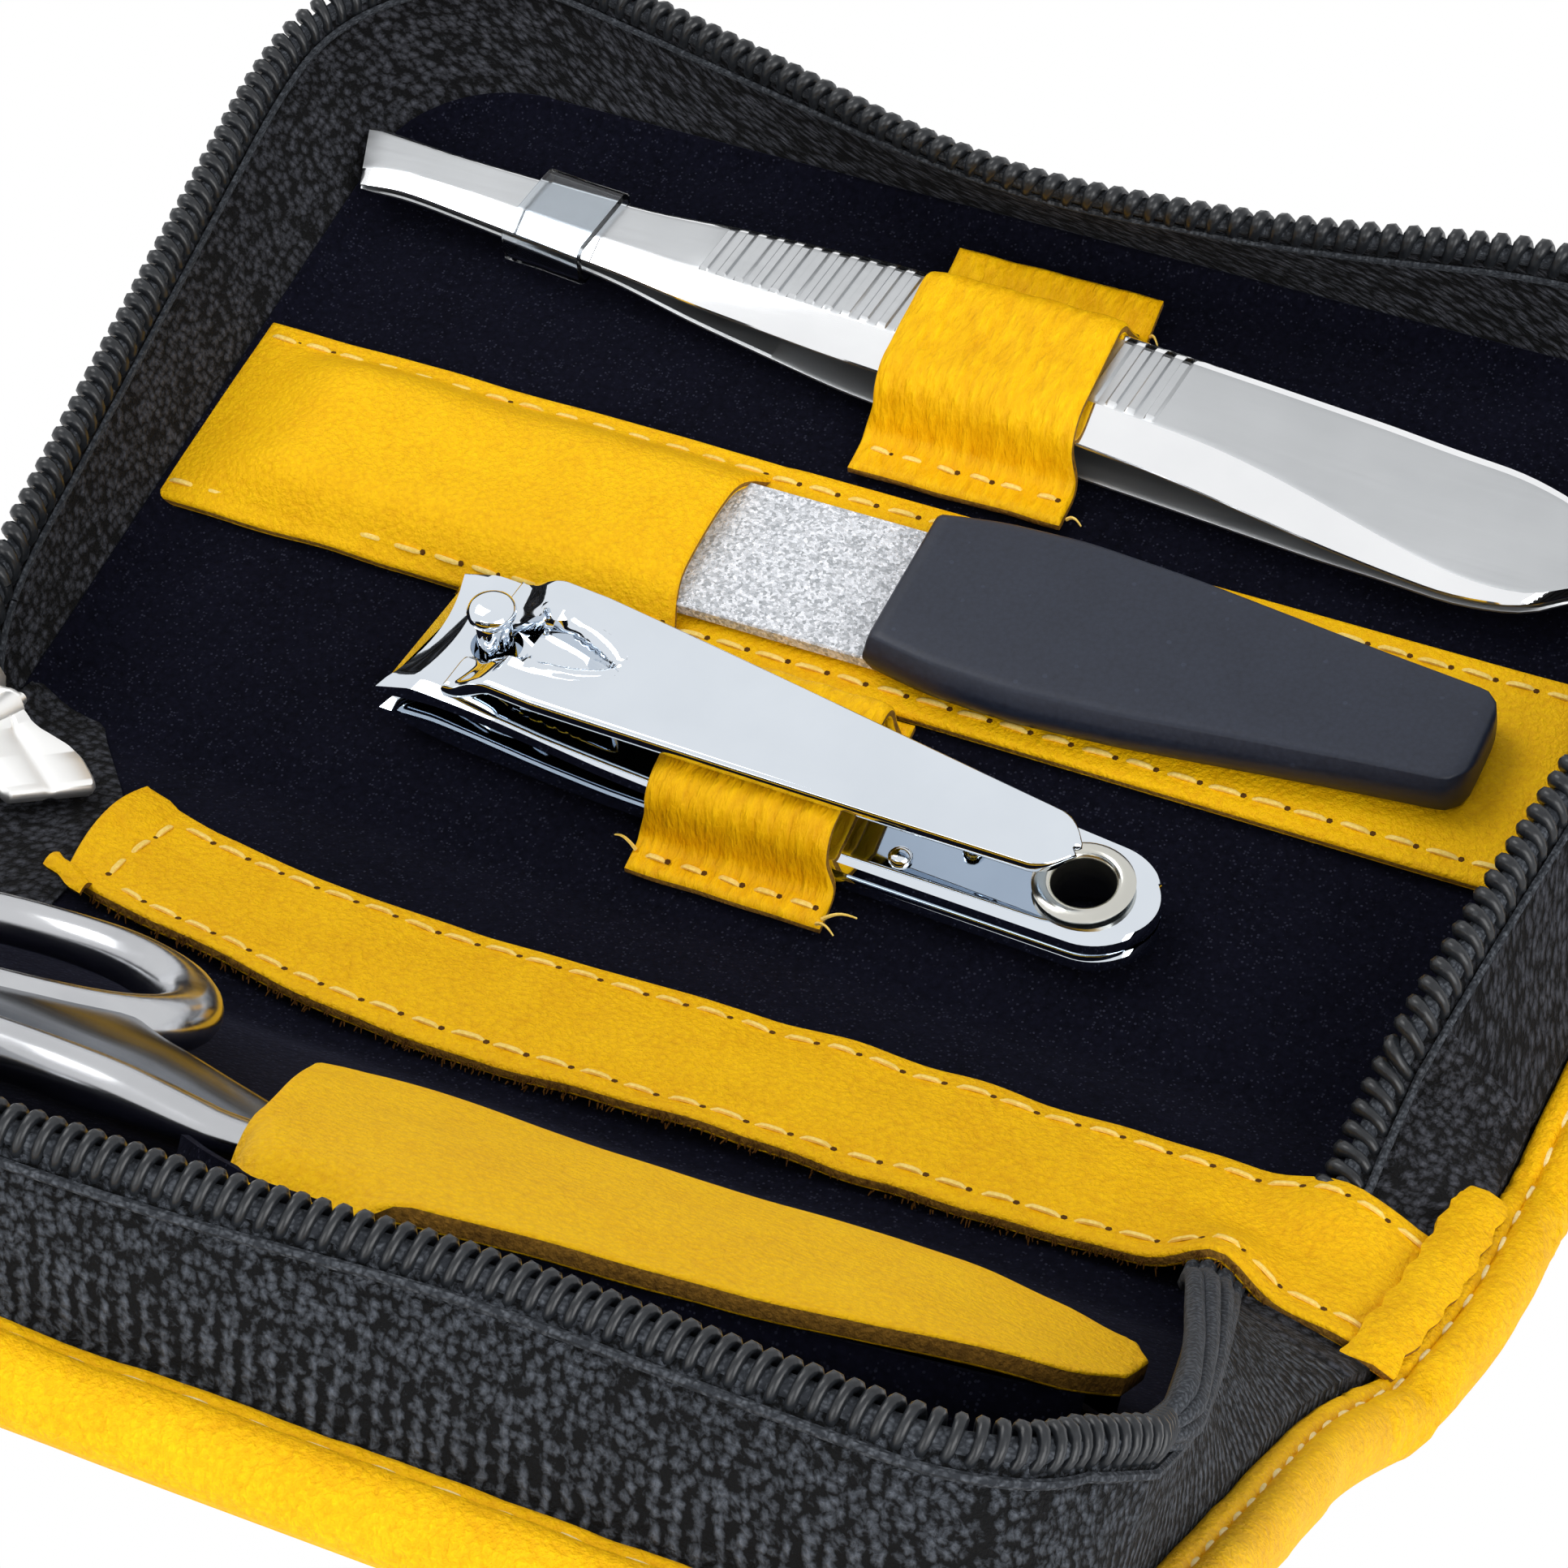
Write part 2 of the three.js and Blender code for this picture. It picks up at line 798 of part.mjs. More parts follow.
// A hollow rivet that holds the tails of both jaws.
function clipperEyelet() {
  const bottom = clipper.bottom - gap;
  const top = upperRearBottom + clipper.metal + gap;
  const lip = clipper.eyeletLip;
  return placeClipper(
    turned(
      [
        [clipper.eyeletBore, bottom - lip],
        [clipper.eyeletFlange, bottom - lip],
        [clipper.eyeletFlange, bottom],
        [clipper.eyeletRadius, bottom],
        [clipper.eyeletRadius, top],
        [clipper.eyeletFlange, top],
        [clipper.eyeletFlange, top + lip],
        [clipper.eyeletBore, top + lip],
      ],
      clipper.eyeletAt,
      0,
      24,
    ),
  );
}

// The lever, folded back flat over the jaws, with turned-down sides at its head.
function clipperLever() {
  const front = lever.frontWidth / 2;
  const tail = lever.tailWidth / 2;
  const length = lever.to - lever.from;
  const t = lever.metal;
  const shape = new THREE.Shape();
  shape.moveTo(lever.from, -0.8 * front);
  shape.quadraticCurveTo(lever.from + t, -front, lever.from + 0.16 * length, -front);
  shape.lineTo(lever.to - tail, -tail);
  shape.absarc(lever.to - tail, 0, tail, -Math.PI / 2, Math.PI / 2, false);
  shape.lineTo(lever.from + 0.16 * length, front);
  shape.quadraticCurveTo(lever.from + t, front, lever.from, 0.8 * front);
  const plan = plate(shape.getPoints(8), 0, lever.frontHeight + overrun);
  const profile = [
    v2(lever.from, lever.frontHeight - t),
    v2(lever.from, lever.frontHeight - t / 4),
    v2(lever.from + t, lever.frontHeight),
    v2(lever.from + 0.2 * length, lever.frontHeight),
    v2(lever.to, lever.tailHeight),
    v2(lever.to, lever.tailHeight - t),
    v2(lever.from + 0.2 * length, lever.frontHeight - t),
  ];
  const body = sidePlate(profile, -front, front).intersect(plan);
  const hole = disc(clipper.postAt, 0, clipper.postHeadRadius + gap, 0, lever.frontHeight + overrun);
  return placeClipper(cut(body, hole));
}

const clipperLoopSize = {
  left: -7,
  right: 6,
  nearTab: 2,
  nearFoot: 4.9,
  farFoot: 18.2,
  farTab: 20.3,
  thickness: 0.9,
  clearTop: 8.5,
};

// Scissors and their sheath, in the front half; u runs from the fold towards the far edge

const scissors = {
  pivotX: 3,
  pivotU: 31.5,
  angle: 0.5,
  bladeLength: 37.5,
  bladeWidth: 7,
  tipWidth: 1.4,
  metal: 1.3,
  bowAt: -30.5,
  bowAside: 13.2,
  bowLift: 1.9,
  bowLong: 11.4,
  bowWide: 9.3,
  rodWidth: 3.3,
  shankWidth: 4.2,
  screwRadius: 1.4,
  screwHead: 2.2,
  screwHeadDepth: 0.5,
};
const lowerBladeBottom = seat;
const lowerBladeTop = lowerBladeBottom + scissors.metal;
const upperBladeBottom = lowerBladeTop + gap;
const upperBladeTop = upperBladeBottom + scissors.metal;
const bowMiddle = (lowerBladeTop + upperBladeBottom) / 2 + scissors.bowLift;

const placeScissors = (body) =>
  body.rotate([0, 0, scissors.angle]).translate([scissors.pivotX, -scissors.pivotU, 0]);

// One half: blade, shank and finger bow. aside is +1 or -1, the side that the bow is on.
function scissorHalf(aside, bottom) {
  const top = bottom + scissors.metal;
  const wide = scissors.bladeWidth / 2;
  const tip = scissors.tipWidth / 2;
  const long = scissors.bladeLength;
  const blade = plate(
    [
      v2(-0.12 * long, aside * wide),
      v2(-0.12 * long, -aside * 0.5 * wide),
      v2(0, -aside * wide),
      v2(0.5 * long, -aside * 0.75 * wide),
      v2(long, -aside * tip),
      v2(long, aside * tip),
      v2(0.4 * long, aside * 0.5 * wide),
    ],
    bottom,
    top,
  );
  const middle = (bottom + top) / 2;
  const bow = [];
  const steps = 20;
  for (let i = 0; i < steps; i++) {
    const angle = (2 * Math.PI * i) / steps;
    const a = scissors.bowAt + scissors.bowLong * Math.cos(angle);
    const b = aside * scissors.bowAside + scissors.bowWide * Math.sin(angle);
    bow.push(v3(a, b, bowMiddle));
  }
  const rodSize = bow.map(() => scissors.rodWidth);
  const shank = [
    v3(-0.06 * long, aside * 0.4 * wide, middle),
    v3(-0.2 * long, aside * 0.8 * wide, middle),
    v3(-0.42 * long, aside * wide, (middle + bowMiddle) / 2),
    v3(-0.66 * long, aside * 1.1 * wide, bowMiddle),
  ];
  const widths = [1, 1, 0.9, 0.8].map((share) => share * scissors.shankWidth);
  const heights = [1, 1, 1.7, 2.5].map((share) => share * scissors.metal);
  const half = join(blade, rod(shank, widths, heights), rod(bow, rodSize, rodSize, 8, true));
  const hole = disc(0, 0, scissors.screwRadius + gap, bottom - overrun, top + overrun);
  const sinkBottom = upperBladeTop - scissors.screwHeadDepth - gap;
  const sink = disc(0, 0, scissors.screwHead + gap, sinkBottom, upperBladeTop + overrun);
  return placeScissors(cut(half, hole, sink));
}

// The screw's head lies sunk in the upper half.
function scissorScrew() {
  const under = upperBladeTop - scissors.screwHeadDepth;
  return placeScissors(
    turned(
      [
        [0, seat],
        [scissors.screwRadius, seat],
        [scissors.screwRadius, under],
        [scissors.screwHead, under],
        [scissors.screwHead, upperBladeTop],
        [0, upperBladeTop],
      ],
      0,
      0,
    ),
  );
}

const sheath = {
  left: -5.4,
  mouthSlant: 6, // the far end of the mouth lies this much further in
  tip: 44.2,
  nearFold: 23.5,
  farFold: 46,
  tipU: 30,
  tipWidth: 8,
  thickness: 1.3,
  gussetInset: 0.6,
  gussetWidth: 1,
};
const sheathBottom = upperBladeTop + 2 * gap;

// Plan of the sheath: straight on the fold side, swelling out and drawn to a round tip.
function sheathPlan(inset, left) {
  const x = (share) => left + share * (sheath.tip - inset - left);
  const low = sheath.nearFold + inset;
  const high = sheath.farFold - inset;
  const tipLow = sheath.tipU - sheath.tipWidth / 2 + inset;
  const tipHigh = sheath.tipU + sheath.tipWidth / 2 - inset / 2;
  const shape = new THREE.Shape();
  shape.moveTo(x(0), -low);
  shape.quadraticCurveTo(x(0.4), -low - sheath.tipWidth / 8, x(0.93), -tipLow);
  shape.quadraticCurveTo(x(1), -tipLow, x(1), -(tipLow + tipHigh) / 2);
  shape.quadraticCurveTo(x(1), -tipHigh, x(0.9), -tipHigh - inset / 4);
  shape.quadraticCurveTo(x(0.5), -0.5 * (high + tipHigh) - inset, x(0.3), -high + sheath.tipWidth / 6);
  shape.lineTo(x(0) + sheath.mouthSlant, -high);
  return shape.getPoints(6);
}

function sheathTop() {
  const top = sheathBottom + sheath.thickness;
  return plate(sheathPlan(0, sheath.left), sheathBottom, top, sheath.thickness / 4);
}

function sheathGusset() {
  const left = sheath.left + sheath.gussetInset;
  const outer = plate(sheathPlan(sheath.gussetInset, left), seat, sheathBottom - gap);
  const inset = sheath.gussetInset + sheath.gussetWidth;
  const inner = plate(sheathPlan(inset, left - overrun), seat - overrun, sheathBottom + overrun);
  return cut(outer, inner);
}

// Tails of the zip chain on the ends of the spine, the slider on the left one, and its pull

const tail = { from: 2.6, to: 13, height: 5.8, lean: 1.3 };
const slider = { at: 6, length: 7, wall: 1, bottomHeight: 4.5, capGap: 0.3 };
const pull = {
  length: 8.6,
  width: 7.2,
  endWidth: 5.2,
  neckWidth: 2.8,
  straightNeck: 1.3,
  thickness: 1,
  eyeRadius: 0.8,
  barRadius: 0.5,
  dropAngle: 13,
  turn: -34,
};
const sliderInner = coil.radius / octagon + slider.capGap;
const sliderOuter = sliderInner + slider.wall;
const sliderTop = tail.height + sliderInner + slider.wall;
const pivotX = sliderOuter + pull.barRadius + pull.eyeRadius;
const pivotZ = sliderTop - 2 * slider.wall;
const tailX = shell.hingeHalfWidth + tail.lean;

// The tape of a tail stands in the slot between the lining and the border.
function tailTape(aside) {
  const half = tape.thickness / 2;
  const x = aside * shell.hingeHalfWidth;
  const top = tail.height - coil.radius - gap;
  return block(x - half, x + half, -tail.to, -tail.from, boardBottom, top);
}

function tailCoil(aside) {
  const path = [v3(aside * tailX, -tail.to, tail.height), v3(aside * tailX, -tail.from, tail.height)];
  const size = path.map(() => (2 * coil.radius) / octagon);
  return rod(path, size, size);
}

// A channel round the coil, open below for the tape, with two ears and a bar for the pull.
function zipSlider() {
  const half = slider.length / 2;
  const top = tail.height + sliderInner;
  const body = block(-sliderOuter, sliderOuter, -half, half, slider.bottomHeight, sliderTop);
  const bore = block(
    -sliderInner,
    sliderInner,
    -half - overrun,
    half + overrun,
    slider.bottomHeight - overrun,
    top,
  );
  const lug = slider.wall;
  const barHalf = pull.neckWidth / 2 + gap;
  const reach = pivotX + pull.barRadius;
  const earTop = pivotZ + pull.barRadius + gap;
  const ear = (y) => block(sliderInner, reach, y, y + lug, pivotZ - pull.barRadius, earTop);
  const bar = crossBar(barHalf + lug, pull.barRadius, pivotX, pivotZ);
  return placeSlider(join(cut(body, bore), ear(-barHalf - lug), ear(barHalf), bar));
}

// A round bar along Y.
function crossBar(half, radius, x, z) {
  return disc(x, -z, radius, -half, half, 10).rotate([-90, 0, 0]);
}

const placeSlider = (body) => body.translate([-tailX, -slider.at, 0]);

// The pull lies inward from the slider, drooping on to the lining and turned a little forward.
function pullTab() {
  const neck = pull.neckWidth / 2;
  const wide = pull.width / 2;
  const end = pull.endWidth / 2;
  const long = pull.length;
  const shape = new THREE.Shape();
  shape.moveTo(0, -neck);
  shape.lineTo(0.25 * long, -neck);
  shape.quadraticCurveTo(0.4 * long, -wide, 0.65 * long, -wide);
  shape.quadraticCurveTo(0.9 * long, -wide, 0.96 * long, -end);
  shape.quadraticCurveTo(long, 0, 0.96 * long, end);
  shape.quadraticCurveTo(0.9 * long, wide, 0.65 * long, wide);
  shape.quadraticCurveTo(0.4 * long, wide, 0.25 * long, neck);
  shape.lineTo(0, neck);
  const half = pull.thickness / 2;
  const tab = plate(shape.getPoints(5), -half, half).rotate([0, 0, pull.turn]);
  const clear = block(-wide, pull.straightNeck, -wide, wide, -wide, wide);
  const straight = block(0, 2 * pull.straightNeck, -neck, neck, -half, half);
  const eye = crossBar(neck, pull.barRadius + pull.eyeRadius, 0, 0);
  const bore = crossBar(wide, pull.barRadius + gap, 0, 0);
  const body = cut(join(cut(tab, clear), straight, eye), bore);
  return placeSlider(body.rotate([0, pull.dropAngle, 0]).translate([pivotX, 0, pivotZ]));
}

// Spine

function spineSheet(halfWidth, bottom, thickness, margin, bevel = 0) {
  return plate(
    [
      v2(-halfWidth, -margin),
      v2(halfWidth, -margin),
      v2(halfWidth, margin - shell.spineWidth),
      v2(-halfWidth, margin - shell.spineWidth),
    ],
    bottom,
    bottom + thickness,
    bevel,
  );
}

function spineCover() {
  const inner = shell.hingeHalfWidth + sheetInset;
  const outer = shell.hingeHalfWidth + shell.borderWidth;
  const margin = gap;
  const skin = spineSheet(outer - gap, 0, shell.skin, margin, shell.skin / 3);
  const low = margin - shell.spineWidth;
  const relief = shell.borderHeight - shell.hingeHeight + mitreClearance;
  const border = (sign) => {
    const height = shell.borderHeight;
    const half = shell.skin / 2;
    const points = [
      v2(-margin, half),
      v2(-margin, shell.hingeHeight),
      v2(-relief, height),
      v2(low - margin + relief, height),
      v2(low, shell.hingeHeight),
      v2(low, half),
    ];
    const from = sign > 0 ? inner : -outer + gap;
    return crossPlate(points, from, from + outer - inner - gap);
  };
  return join(skin, border(1), border(-1));
}

// Middle of the strip, which lies in a slight curve: share of its length from the left end,
// share of the spine's width from the rear fold.
const stripMiddleShares = [
  [0, 0.492],
  [0.08145, 0.572],
  [0.20588, 0.64],
  [0.37557, 0.66],
  [0.61312, 0.632],
  [0.83937, 0.608],
  [1, 0.656],
];

function spineStrip() {
  const half = strip.width / 2;
  const top = seat + strip.thickness;
  const sectionShares = [
    [1, 0],
    [0.5, 0.8],
    [0, 1],
    [-0.5, 0.8],
    [-1, 0],
  ];
  const left = strip.fromLeft - shell.hingeHalfWidth;
  const length = shell.hingeHalfWidth - strip.fromRight - left;
  const middles = stripMiddleShares.map(([along, across]) => [
    left + along * length,
    across * shell.spineWidth,
  ]);
  const rings = middles.map(([x, middle]) => [
    v3(x, -half - middle, seat),
    v3(x, half - middle, seat),
    ...sectionShares.map(([across, up]) =>
      v3(x, across * half - middle, top + up * strip.crown),
    ),
  ]);
  return loft(rings);
}

// Assembly

const finish = (tint, roughness, metalness = 0) =>
  new THREE.MeshStandardMaterial({ color: tint, roughness, metalness });

function piece(group, name, body, material) {
  const mesh = new THREE.Mesh(geometryOf(body), material);
  mesh.name = name;
  group.add(mesh);
}

const leather = () => finish(colour.leather, 0.55);
const velvet = () => finish(colour.velvet, 0.95);
const weave = () => finish(colour.tape, 0.85);
const nylon = () => finish(colour.coil, 0.4);
const chrome = () => finish(colour.chrome, 0.12, 1);

const part = new THREE.Group();
const rear = new THREE.Group();
const spineFold = new THREE.Group();
const spine = new THREE.Group();
const frontFold = new THREE.Group();
const front = new THREE.Group();
part.add(rear, spineFold);
spineFold.position.z = shell.hingeHeight;
spineFold.rotation.x = -foldAngle;
spine.position.z = -shell.hingeHeight;
spineFold.add(spine, frontFold);
frontFold.position.y = -shell.spineWidth;
frontFold.rotation.x = -foldAngle;
front.position.z = -shell.hingeHeight;
frontFold.add(front);

function addHalf(group, name, direction, leanShares, start) {
  piece(group, name + "_cover", halfCover(direction), leather());
  const boardSolid = halfSheet(board.inset, boardBottom, board.thickness, direction);
  piece(group, name + "_board", boardSolid, finish(colour.boardGrey, 0.9));
  const liningSolid = halfSheet(sheetInset, liningBottom, lining.thickness, direction);
  piece(group, name + "_lining", liningSolid, velvet());
  piece(group, name + "_zip_tape", tapeWall(leanShares, direction, start), weave());
  piece(group, name + "_zip_coil", coilBead(leanShares, direction, start), nylon());
}

addHalf(rear, "rear", side.rear, rearLeanShares, tape.rearStart);
addHalf(front, "front", side.front, frontLeanShares, tape.frontStart);

piece(rear, "file_band", fileBand(), leather());
piece(rear, "file_blade", fileBlade(), finish(colour.grit, 0.6, 0.6));
piece(rear, "file_handle", fileHandle(), finish(colour.plastic, 0.5));
piece(rear, "tweezer_loop", strapLoop(tweezerLoopSize), leather());
piece(rear, "tweezer_upper_leg", tweezerLeg(1), finish(colour.satin, 0.3, 1));
piece(rear, "tweezer_lower_leg", tweezerLeg(-1), finish(colour.satin, 0.3, 1));
piece(rear, "tweezer_sleeve", tweezerSleeve(), finish(colour.clear, 0.15));
piece(rear, "clipper_loop", strapLoop(clipperLoopSize), leather());
piece(rear, "clipper_lower_jaw", lowerJaw(), chrome());
piece(rear, "clipper_upper_jaw", upperJaw(), chrome());
piece(rear, "clipper_post", clipperPost(), chrome());
piece(rear, "clipper_eyelet", clipperEyelet(), chrome());
piece(rear, "clipper_lever", clipperLever(), chrome());

piece(spine, "spine_cover", spineCover(), leather());
const spineHalf = shell.hingeHalfWidth - sheetInset;
const spineBoard = spineSheet(spineHalf, boardBottom, board.thickness, lining.foldRelief);
piece(spine, "spine_board", spineBoard, finish(colour.boardGrey, 0.9));
const spineLining = spineSheet(spineHalf, liningBottom, lining.thickness, lining.foldRelief);
piece(spine, "spine_lining", spineLining, velvet());
piece(spine, "spine_strip", spineStrip(), leather());
piece(spine, "left_tail_tape", tailTape(-1), weave());
piece(spine, "left_tail_coil", tailCoil(-1), nylon());
piece(spine, "right_tail_tape", tailTape(1), weave());
piece(spine, "right_tail_coil", tailCoil(1), nylon());
piece(spine, "zip_slider", zipSlider(), finish(colour.silver, 0.35, 0.8));
piece(spine, "zip_pull", pullTab(), finish(colour.silver, 0.35, 0.8));

piece(front, "sheath_top", sheathTop(), leather());
piece(front, "sheath_gusset", sheathGusset(), velvet());
piece(front, "scissor_lower_half", scissorHalf(1, lowerBladeBottom), chrome());
piece(front, "scissor_upper_half", scissorHalf(-1, upperBladeBottom), chrome());
piece(front, "scissor_screw", scissorScrew(), chrome());

// The origin is under the middle of the whole, on the table.
part.updateMatrixWorld(true);
const whole = new THREE.Box3().setFromObject(part, true);
const middle = whole.getCenter(v3(0, 0, 0));
part.position.set(-middle.x, -middle.y, -whole.min.z);

export default part;
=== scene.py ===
import math
import random

import bmesh
import bpy
import numpy as np
from mathutils import Matrix, Vector, noise


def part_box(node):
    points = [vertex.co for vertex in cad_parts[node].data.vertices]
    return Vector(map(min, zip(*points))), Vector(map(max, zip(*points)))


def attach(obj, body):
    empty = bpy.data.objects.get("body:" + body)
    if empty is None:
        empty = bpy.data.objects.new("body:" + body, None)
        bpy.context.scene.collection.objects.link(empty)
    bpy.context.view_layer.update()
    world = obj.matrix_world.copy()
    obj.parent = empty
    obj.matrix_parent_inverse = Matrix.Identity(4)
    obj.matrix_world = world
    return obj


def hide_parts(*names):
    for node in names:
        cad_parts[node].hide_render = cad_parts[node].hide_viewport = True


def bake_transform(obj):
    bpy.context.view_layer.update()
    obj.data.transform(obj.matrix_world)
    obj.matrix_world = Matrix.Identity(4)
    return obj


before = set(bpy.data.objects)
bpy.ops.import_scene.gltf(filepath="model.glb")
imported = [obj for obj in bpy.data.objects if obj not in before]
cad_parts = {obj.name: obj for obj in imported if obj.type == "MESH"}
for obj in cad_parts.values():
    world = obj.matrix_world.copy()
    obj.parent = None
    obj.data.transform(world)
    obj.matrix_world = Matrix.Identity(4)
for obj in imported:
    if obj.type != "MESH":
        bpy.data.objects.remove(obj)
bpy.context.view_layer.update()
scene = bpy.context.scene
dice = random.Random(11)
mm = 0.001
print("stage: frame loaded")

case = {  # mm; the rear half lies on the table, the spine and the front half lean up from it
    "hingeHalf": 52.0, "farHalf": 54.8, "depth": 67.9, "corner": 10.0, "spine": 25.0,
    "hingeHeight": 2.0, "fold": math.radians(21.5), "bendReach": 3.0,
    "frontPinch": 2.8, "pinchFrom": 14.0, "pinchOver": 30.0,  # the front half's right edge is drawn in
}
coverLow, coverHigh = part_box("rear_cover")
origin = np.array([(coverLow.x + coverHigh.x) / 2, coverLow.y - 0.3 * mm, 0.0])


# Laying points out: x along the spine, a distance from a fold line, a height over the table side

def ease(t):
    t = np.clip(t, 0, 1)
    return t * t * (3 - 2 * t)


def layRear(p):
    return p.copy()


def leaned(p, start, turn):
    c, s = math.cos(turn), math.sin(turn)
    rise = p[:, 2] - case["hingeHeight"]
    return np.stack([p[:, 0], start[0] - p[:, 1] * c + rise * s, start[1] + p[:, 1] * s + rise * c], 1)


def laySpine(p):
    return leaned(p, (0, case["hingeHeight"]), case["fold"])


def layFront(p):
    c, s = math.cos(case["fold"]), math.sin(case["fold"])
    start = (-case["spine"] * c, case["hingeHeight"] + case["spine"] * s)
    return leaned(p, start, 2 * case["fold"])


def pinched(x, w):
    along = ease((-w - case["spine"] + case["pinchFrom"]) / case["pinchOver"])
    return case["frontPinch"] * along * np.clip(x / case["hingeHalf"], 0, 1.2) ** 2


def layCase(p):  # the distance runs on over all three, positive towards the rear
    p = p.copy()
    w, reach, spine = p[:, 1].copy(), case["bendReach"], case["spine"]
    p[:, 0] -= pinched(p[:, 0], w)
    toSpine = ease((reach - w) / (2 * reach))[:, None]
    toFront = ease((reach - spine - w) / (2 * reach))[:, None]
    asSpine = laySpine(np.stack([p[:, 0], -w, p[:, 2]], 1))
    asFront = layFront(np.stack([p[:, 0], -w - spine, p[:, 2]], 1))
    return p * (1 - toSpine) + (asSpine * (1 - toFront) + asFront * toFront) * toSpine


lays = {"rear": layRear, "spine": laySpine, "front": layFront, "case": layCase}


def lay(points, face):
    points = np.asarray(points, float)
    return lays[face](points.reshape(-1, 3)).reshape(points.shape)


def inFrame(points):
    return np.asarray(points, float) * mm + origin


def unit(v):
    v = np.asarray(v, float)
    return v / np.maximum(np.linalg.norm(v, axis=-1, keepdims=True), 1e-9)


def gridOf(x, y, z):  # points from three arrays, which may be single rows or columns
    return np.stack(np.broadcast_arrays(x, y, z), -1)


def mound(x, at, wide):
    return np.exp(-(((x - at) / wide) ** 2))


def domed(t, power=2):  # round fall from 1 at t = 0 to 0 at t = 1
    return np.sqrt(np.clip(1 - np.clip(t, 0, 1) ** power, 0, 1))


def turnsOf(sides, shift=0.0):
    return 2 * np.pi * (np.arange(sides) + shift) / sides


def flipped(side):  # the same corners on the other side, in reverse order
    return [(-a, b) for a, b in side[::-1]]


def roundedPath(corners, radii, arcSteps=8):
    corners = [np.array(c, float) for c in corners]
    points = []
    for i, (corner, radius) in enumerate(zip(corners, radii)):
        if not radius:
            points.append(corner)
            continue
        back = unit(corners[i - 1] - corner)
        ahead = unit(corners[(i + 1) % len(corners)] - corner)
        half = math.acos(np.clip(back @ ahead, -1, 1)) / 2
        centre = corner + unit(back + ahead) * radius / math.sin(half)
        reach = radius / math.tan(half)
        start, end, turn = corner + back * reach - centre, corner + ahead * reach - centre, math.pi - 2 * half
        for k in range(arcSteps + 1):
            t = k / arcSteps * turn
            points.append(centre + (start * math.sin(turn - t) + end * math.sin(t)) / math.sin(turn))
    return np.array(points)


def lengths(points):
    return np.concatenate([[0], np.cumsum(np.linalg.norm(np.diff(points, axis=0), axis=1))])


def placesAt(at, s, values):  # each column of values at the lengths at
    return np.stack([np.interp(at, s, column) for column in values.T], -1)


def resample(points, step):
    s = lengths(points)
    return placesAt(np.linspace(0, s[-1], max(2, round(s[-1] / step) + 1)), s, points)


def table(places, pairs):  # smooth value between the pairs
    pairs = np.array(pairs, float)
    fine = np.linspace(pairs[0, 0], pairs[-1, 0], 240)
    values = np.interp(fine, pairs[:, 0], pairs[:, 1])
    near = max(3, int(240 / len(pairs) / 2)) | 1
    padded = np.concatenate([np.full(near // 2, values[0]), values, np.full(near // 2, values[-1])])
    return np.interp(places, fine, np.convolve(padded, np.ones(near) / near, "valid"))


def steps(low, high, step, rim=0.4):  # closer together at both ends
    ends = rim * np.array([0, 0.12, 0.45])
    inner = np.linspace(low + rim, high - rim, max(2, round((high - low - 2 * rim) / step) + 1))
    return np.concatenate([low + ends, inner, high - ends[::-1]])


def rumple(points, size, depth, seed=0):  # smooth noise value at each point, in mm
    flat = np.asarray(points, float).reshape(-1, 3) / size + seed * 17.3
    return np.array([noise.noise(Vector(p)) for p in flat]).reshape(points.shape[:-1]) * depth


def ripple(x, y, size, depth, seed=0):
    return rumple(gridOf(x, y, 0), size, depth, seed)


class Pile:  # points and faces gathered for one piece, in mm
    def __init__(self):
        self.points, self.faces, self.slots, self.places, self.count = [], [], [], [], 0

    def add(self, points, faces, slot=0, places=None):
        points = np.asarray(points, float).reshape(-1, 3)
        self.points.append(points)
        self.faces += [tuple(int(i) + self.count for i in face) for face in faces]
        self.slots += [slot] * len(faces)
        self.places.append(np.zeros((len(points), 2)) if places is None else places.reshape(-1, 2))
        self.count += len(points)

    def piece(self, name, materials, sharp=55):
        mesh = bpy.data.meshes.new(name)
        mesh.from_pydata(inFrame(np.concatenate(self.points)).tolist(), [], self.faces)
        for material in materials:
            mesh.materials.append(material)
        mesh.polygons.foreach_set("material_index", self.slots)
        mesh.polygons.foreach_set("use_smooth", [True] * len(self.faces))
        ends = np.empty(len(mesh.loops), np.int32)
        mesh.loops.foreach_get("vertex_index", ends)
        layer = mesh.uv_layers.new(name="lay")
        layer.data.foreach_set("uv", np.concatenate(self.places)[ends].ravel().astype(np.float32))
        shape = bmesh.new()
        shape.from_mesh(mesh)
        bmesh.ops.recalc_face_normals(shape, faces=shape.faces)
        shape.to_mesh(mesh)
        shape.free()
        mesh.set_sharp_from_angle(angle=math.radians(sharp))
        made = bpy.data.objects.new(name, mesh)
        scene.collection.objects.link(made)
        return made


def settle(piece, body, cadNode=None):
    if isinstance(body, str):
        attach(piece, body)
    else:
        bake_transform(piece)
    if cadNode:
        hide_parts(cadNode)


def foldBlend(first, second, fold):
    ends = lay([[0, fold + case["bendReach"], 2], [0, fold - case["bendReach"], 2]], "case")
    start, end = inFrame(ends)
    return first, second, tuple(start), tuple(end)


rearFold = foldBlend("rear", "spine", 0)
frontFold = foldBlend("spine", "front", -case["spine"])


def gridFaces(rows, columns, wrapRows=False, wrapColumns=False):
    i = np.arange(rows if wrapRows else rows - 1)
    j = np.arange(columns if wrapColumns else columns - 1)
    i, j = [g.ravel() for g in np.meshgrid(i, j, indexing="ij")]
    k, m = (i + 1) % rows, (j + 1) % columns
    return np.stack([i * columns + j, k * columns + j, k * columns + m, i * columns + m], 1)


